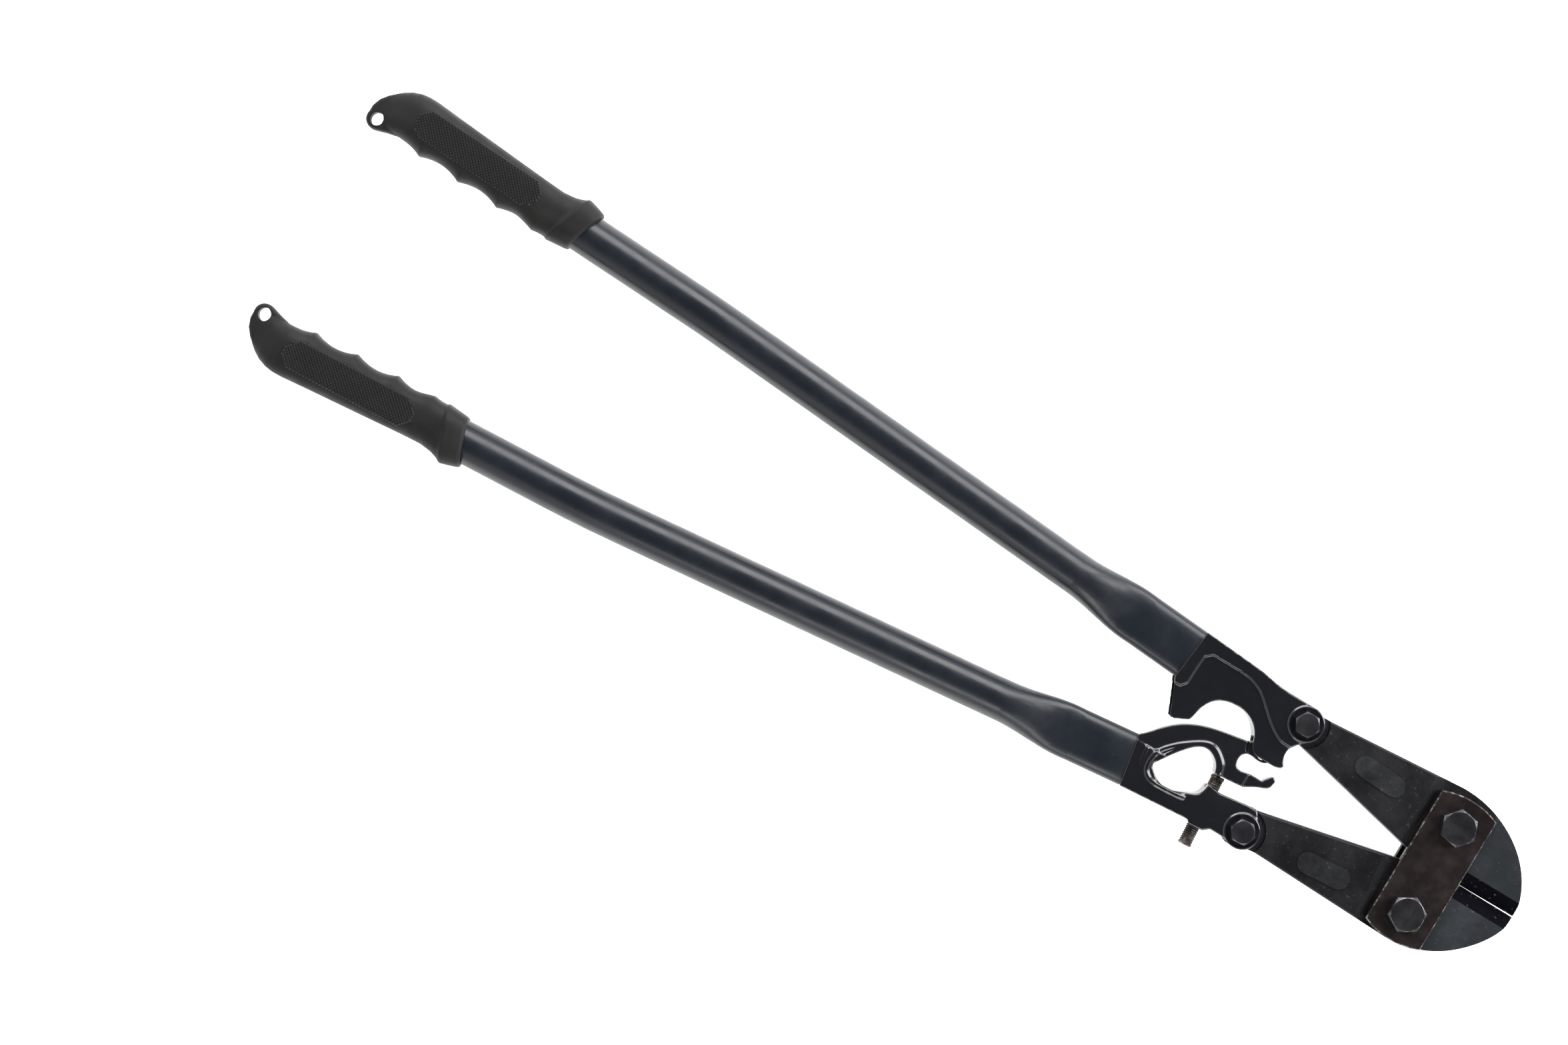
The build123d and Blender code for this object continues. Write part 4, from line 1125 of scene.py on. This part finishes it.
    def build(self) -> None:
        """Builds both grips in place of their CAD solids."""
        rubber = self.rubber.build()
        for side in Handle:
            axes = self.axes(side)
            body = new_object(f"{side.label}_grip_rubber", self.skin(axes))
            rounded(body, self.spacing * MM, self.passes)
            hang = axes.place(*self.hang_place)
            past = Vector((0, 0, 20 * MM))
            cut(body, cylinder(hang - past, hang + past, self.hang_radius * MM))
            mouth = axes.place(-20.0, 0.0)
            cut(body, cylinder(mouth, axes.place(self.overlap, 0.0), self.bore_radius * MM))
            body.data.materials.clear()
            body.data.materials.append(rubber)
            smooth_shade(body.data)
            bpy.context.view_layer.update()
            knurl = self.knurl(self.panel_points(body, axes), side, rubber)
            for piece in (body, knurl):
                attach(piece, side.body)
                LOG.info("grips: %s, %d faces", piece.name, len(piece.data.polygons))
            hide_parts(f"{side.label}_grip")


@dataclass
class Tubes:
    """The two handle tubes."""

    paint: TubePaint = field(default_factory=lambda: TubePaint("tube_paint"))

    def dress(self) -> None:
        """Gives both tubes their paint."""
        paint = self.paint.build()
        for side in Handle:
            paint_node(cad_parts[f"{side.label}_tube"], paint)
            LOG.info("tubes: %s_tube", side.label)


@dataclass(frozen=True)
class Softbox:
    """One lamp: its place right of, up from and over the tool as seen, its size and power."""

    name: str
    right: float
    up: float
    height: float
    size: tuple[float, float]
    power: float


@dataclass
class Studio:
    """A pale floor that the tool lies on, soft lights, and the camera above.

    Lengths are in metres, except the sensor's, in millimetres. Powers are in watts.
    """

    floor_colour: Colour = (0.9, 0.9, 0.905)
    camera_height: float = 2.04
    view_width: float = 0.882
    centre: tuple[float, float] = (-0.41055, -0.0201)
    view_right: tuple[float, float] = (0.8565, 0.5161)
    sensor: float = 36.0
    floor_reach: float = 6.0
    floor_gap: float = 0.05 * MM
    floor_glow: float = 0.9
    low_sky: float = 1.25
    high_sky: float = 0.13
    sky_fall: tuple[float, float] = (0.25, 0.95)
    softboxes: tuple[Softbox, ...] = (
        Softbox("key", 0.3, 1.5, 1.25, (2.6, 1.0), 62.0),
        Softbox("fill", 0.3, -1.6, 1.2, (2.4, 0.6), 20.0),
        Softbox("rim", 1.7, 0.3, 0.9, (0.9, 1.6), 40.0),
    )

    def floor(self) -> None:
        """Lays the floor under the blade bolts' ends and the grips' collars."""
        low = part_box("lower_blade_bolt")[0].z
        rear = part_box("lower_grip")[0].z
        rear_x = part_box("lower_grip")[1].x
        slope = (rear - low) / rear_x
        mesh = bpy.data.meshes.new("floor")
        reach = self.floor_reach
        corners = [
            (x, y, low + slope * x - self.floor_gap)
            for x, y in ((-reach, -reach), (reach, -reach), (reach, reach), (-reach, reach))
        ]
        mesh.from_pydata(corners, [], [(0, 1, 2, 3)])
        g = Graph("floor")
        g.shader.inputs["Base Color"].default_value = (*self.floor_colour, 1.0)
        g.shader.inputs["Emission Color"].default_value = (1.0, 1.0, 1.0, 1.0)
        g.shader.inputs["Emission Strength"].default_value = self.floor_glow
        g.shader.inputs["Roughness"].default_value = 0.9
        g.shader.inputs["Specular IOR Level"].default_value = 0.1
        mesh.materials.append(g.material)
        new_object("floor", mesh)

    def lamp(self, box: Softbox) -> None:
        """Hangs one softbox, facing the middle of the tool."""
        right = Vector((*self.view_right, 0.0))
        up = Vector((-self.view_right[1], self.view_right[0], 0.0))
        middle = Vector((*self.centre, 0.0))
        place = middle + up * box.up + right * box.right + Vector((0, 0, box.height))
        light = bpy.data.lights.new(box.name, "AREA")
        light.shape = "RECTANGLE"
        light.size, light.size_y = box.size
        light.energy = box.power
        lamp = bpy.data.objects.new(box.name, light)
        lamp.location = place
        lamp.rotation_euler = (middle - place).to_track_quat("-Z", "Y").to_euler()
        bpy.context.scene.collection.objects.link(lamp)

    def lights(self) -> None:
        """Hangs the softboxes and sets the sky's even light."""
        for box in self.softboxes:
            self.lamp(box)
        world = bpy.data.worlds.new("studio")
        world.use_nodes = True
        tree = world.node_tree
        background = tree.nodes["Background"]
        background.inputs["Color"].default_value = (1.0, 1.0, 1.0, 1.0)
        direction = tree.nodes.new("ShaderNodeTexCoord")
        height = tree.nodes.new("ShaderNodeSeparateXYZ")
        fall = tree.nodes.new("ShaderNodeMapRange")
        fall.interpolation_type = "SMOOTHSTEP"
        for name, number in (
            ("From Min", self.sky_fall[0]),
            ("From Max", self.sky_fall[1]),
            ("To Min", self.low_sky),
            ("To Max", self.high_sky),
        ):
            fall.inputs[name].default_value = number
        tree.links.new(direction.outputs["Generated"], height.inputs[0])
        tree.links.new(height.outputs["Z"], fall.inputs["Value"])
        tree.links.new(fall.outputs["Result"], background.inputs["Strength"])
        bpy.context.scene.world = world

    def camera(self) -> None:
        """Places the camera straight above the tool."""
        right = Vector((*self.view_right, 0.0)).normalized()
        up = Vector((-right.y, right.x, 0.0))
        lens = bpy.data.cameras.new("camera")
        lens.sensor_width = self.sensor
        lens.lens = self.sensor * self.camera_height / self.view_width
        camera = bpy.data.objects.new("camera", lens)
        turn = Matrix((right, up, Vector((0, 0, 1)))).transposed().to_4x4()
        camera.matrix_world = (
            Matrix.Translation(Vector((*self.centre, self.camera_height))) @ turn
        )
        bpy.context.scene.collection.objects.link(camera)
        bpy.context.scene.camera = camera

    def build(self) -> None:
        """Builds the floor, the lights and the camera."""
        self.floor()
        self.lights()
        self.camera()
        bpy.context.scene.view_settings.view_transform = "Standard"


def main() -> None:
    """Builds the studio and every sub-assembly."""
    Studio().build()
    Head().dress()
    Tubes().dress()
    Connectors().build()
    Grips().build()


if __name__ == "__main__":
    main()
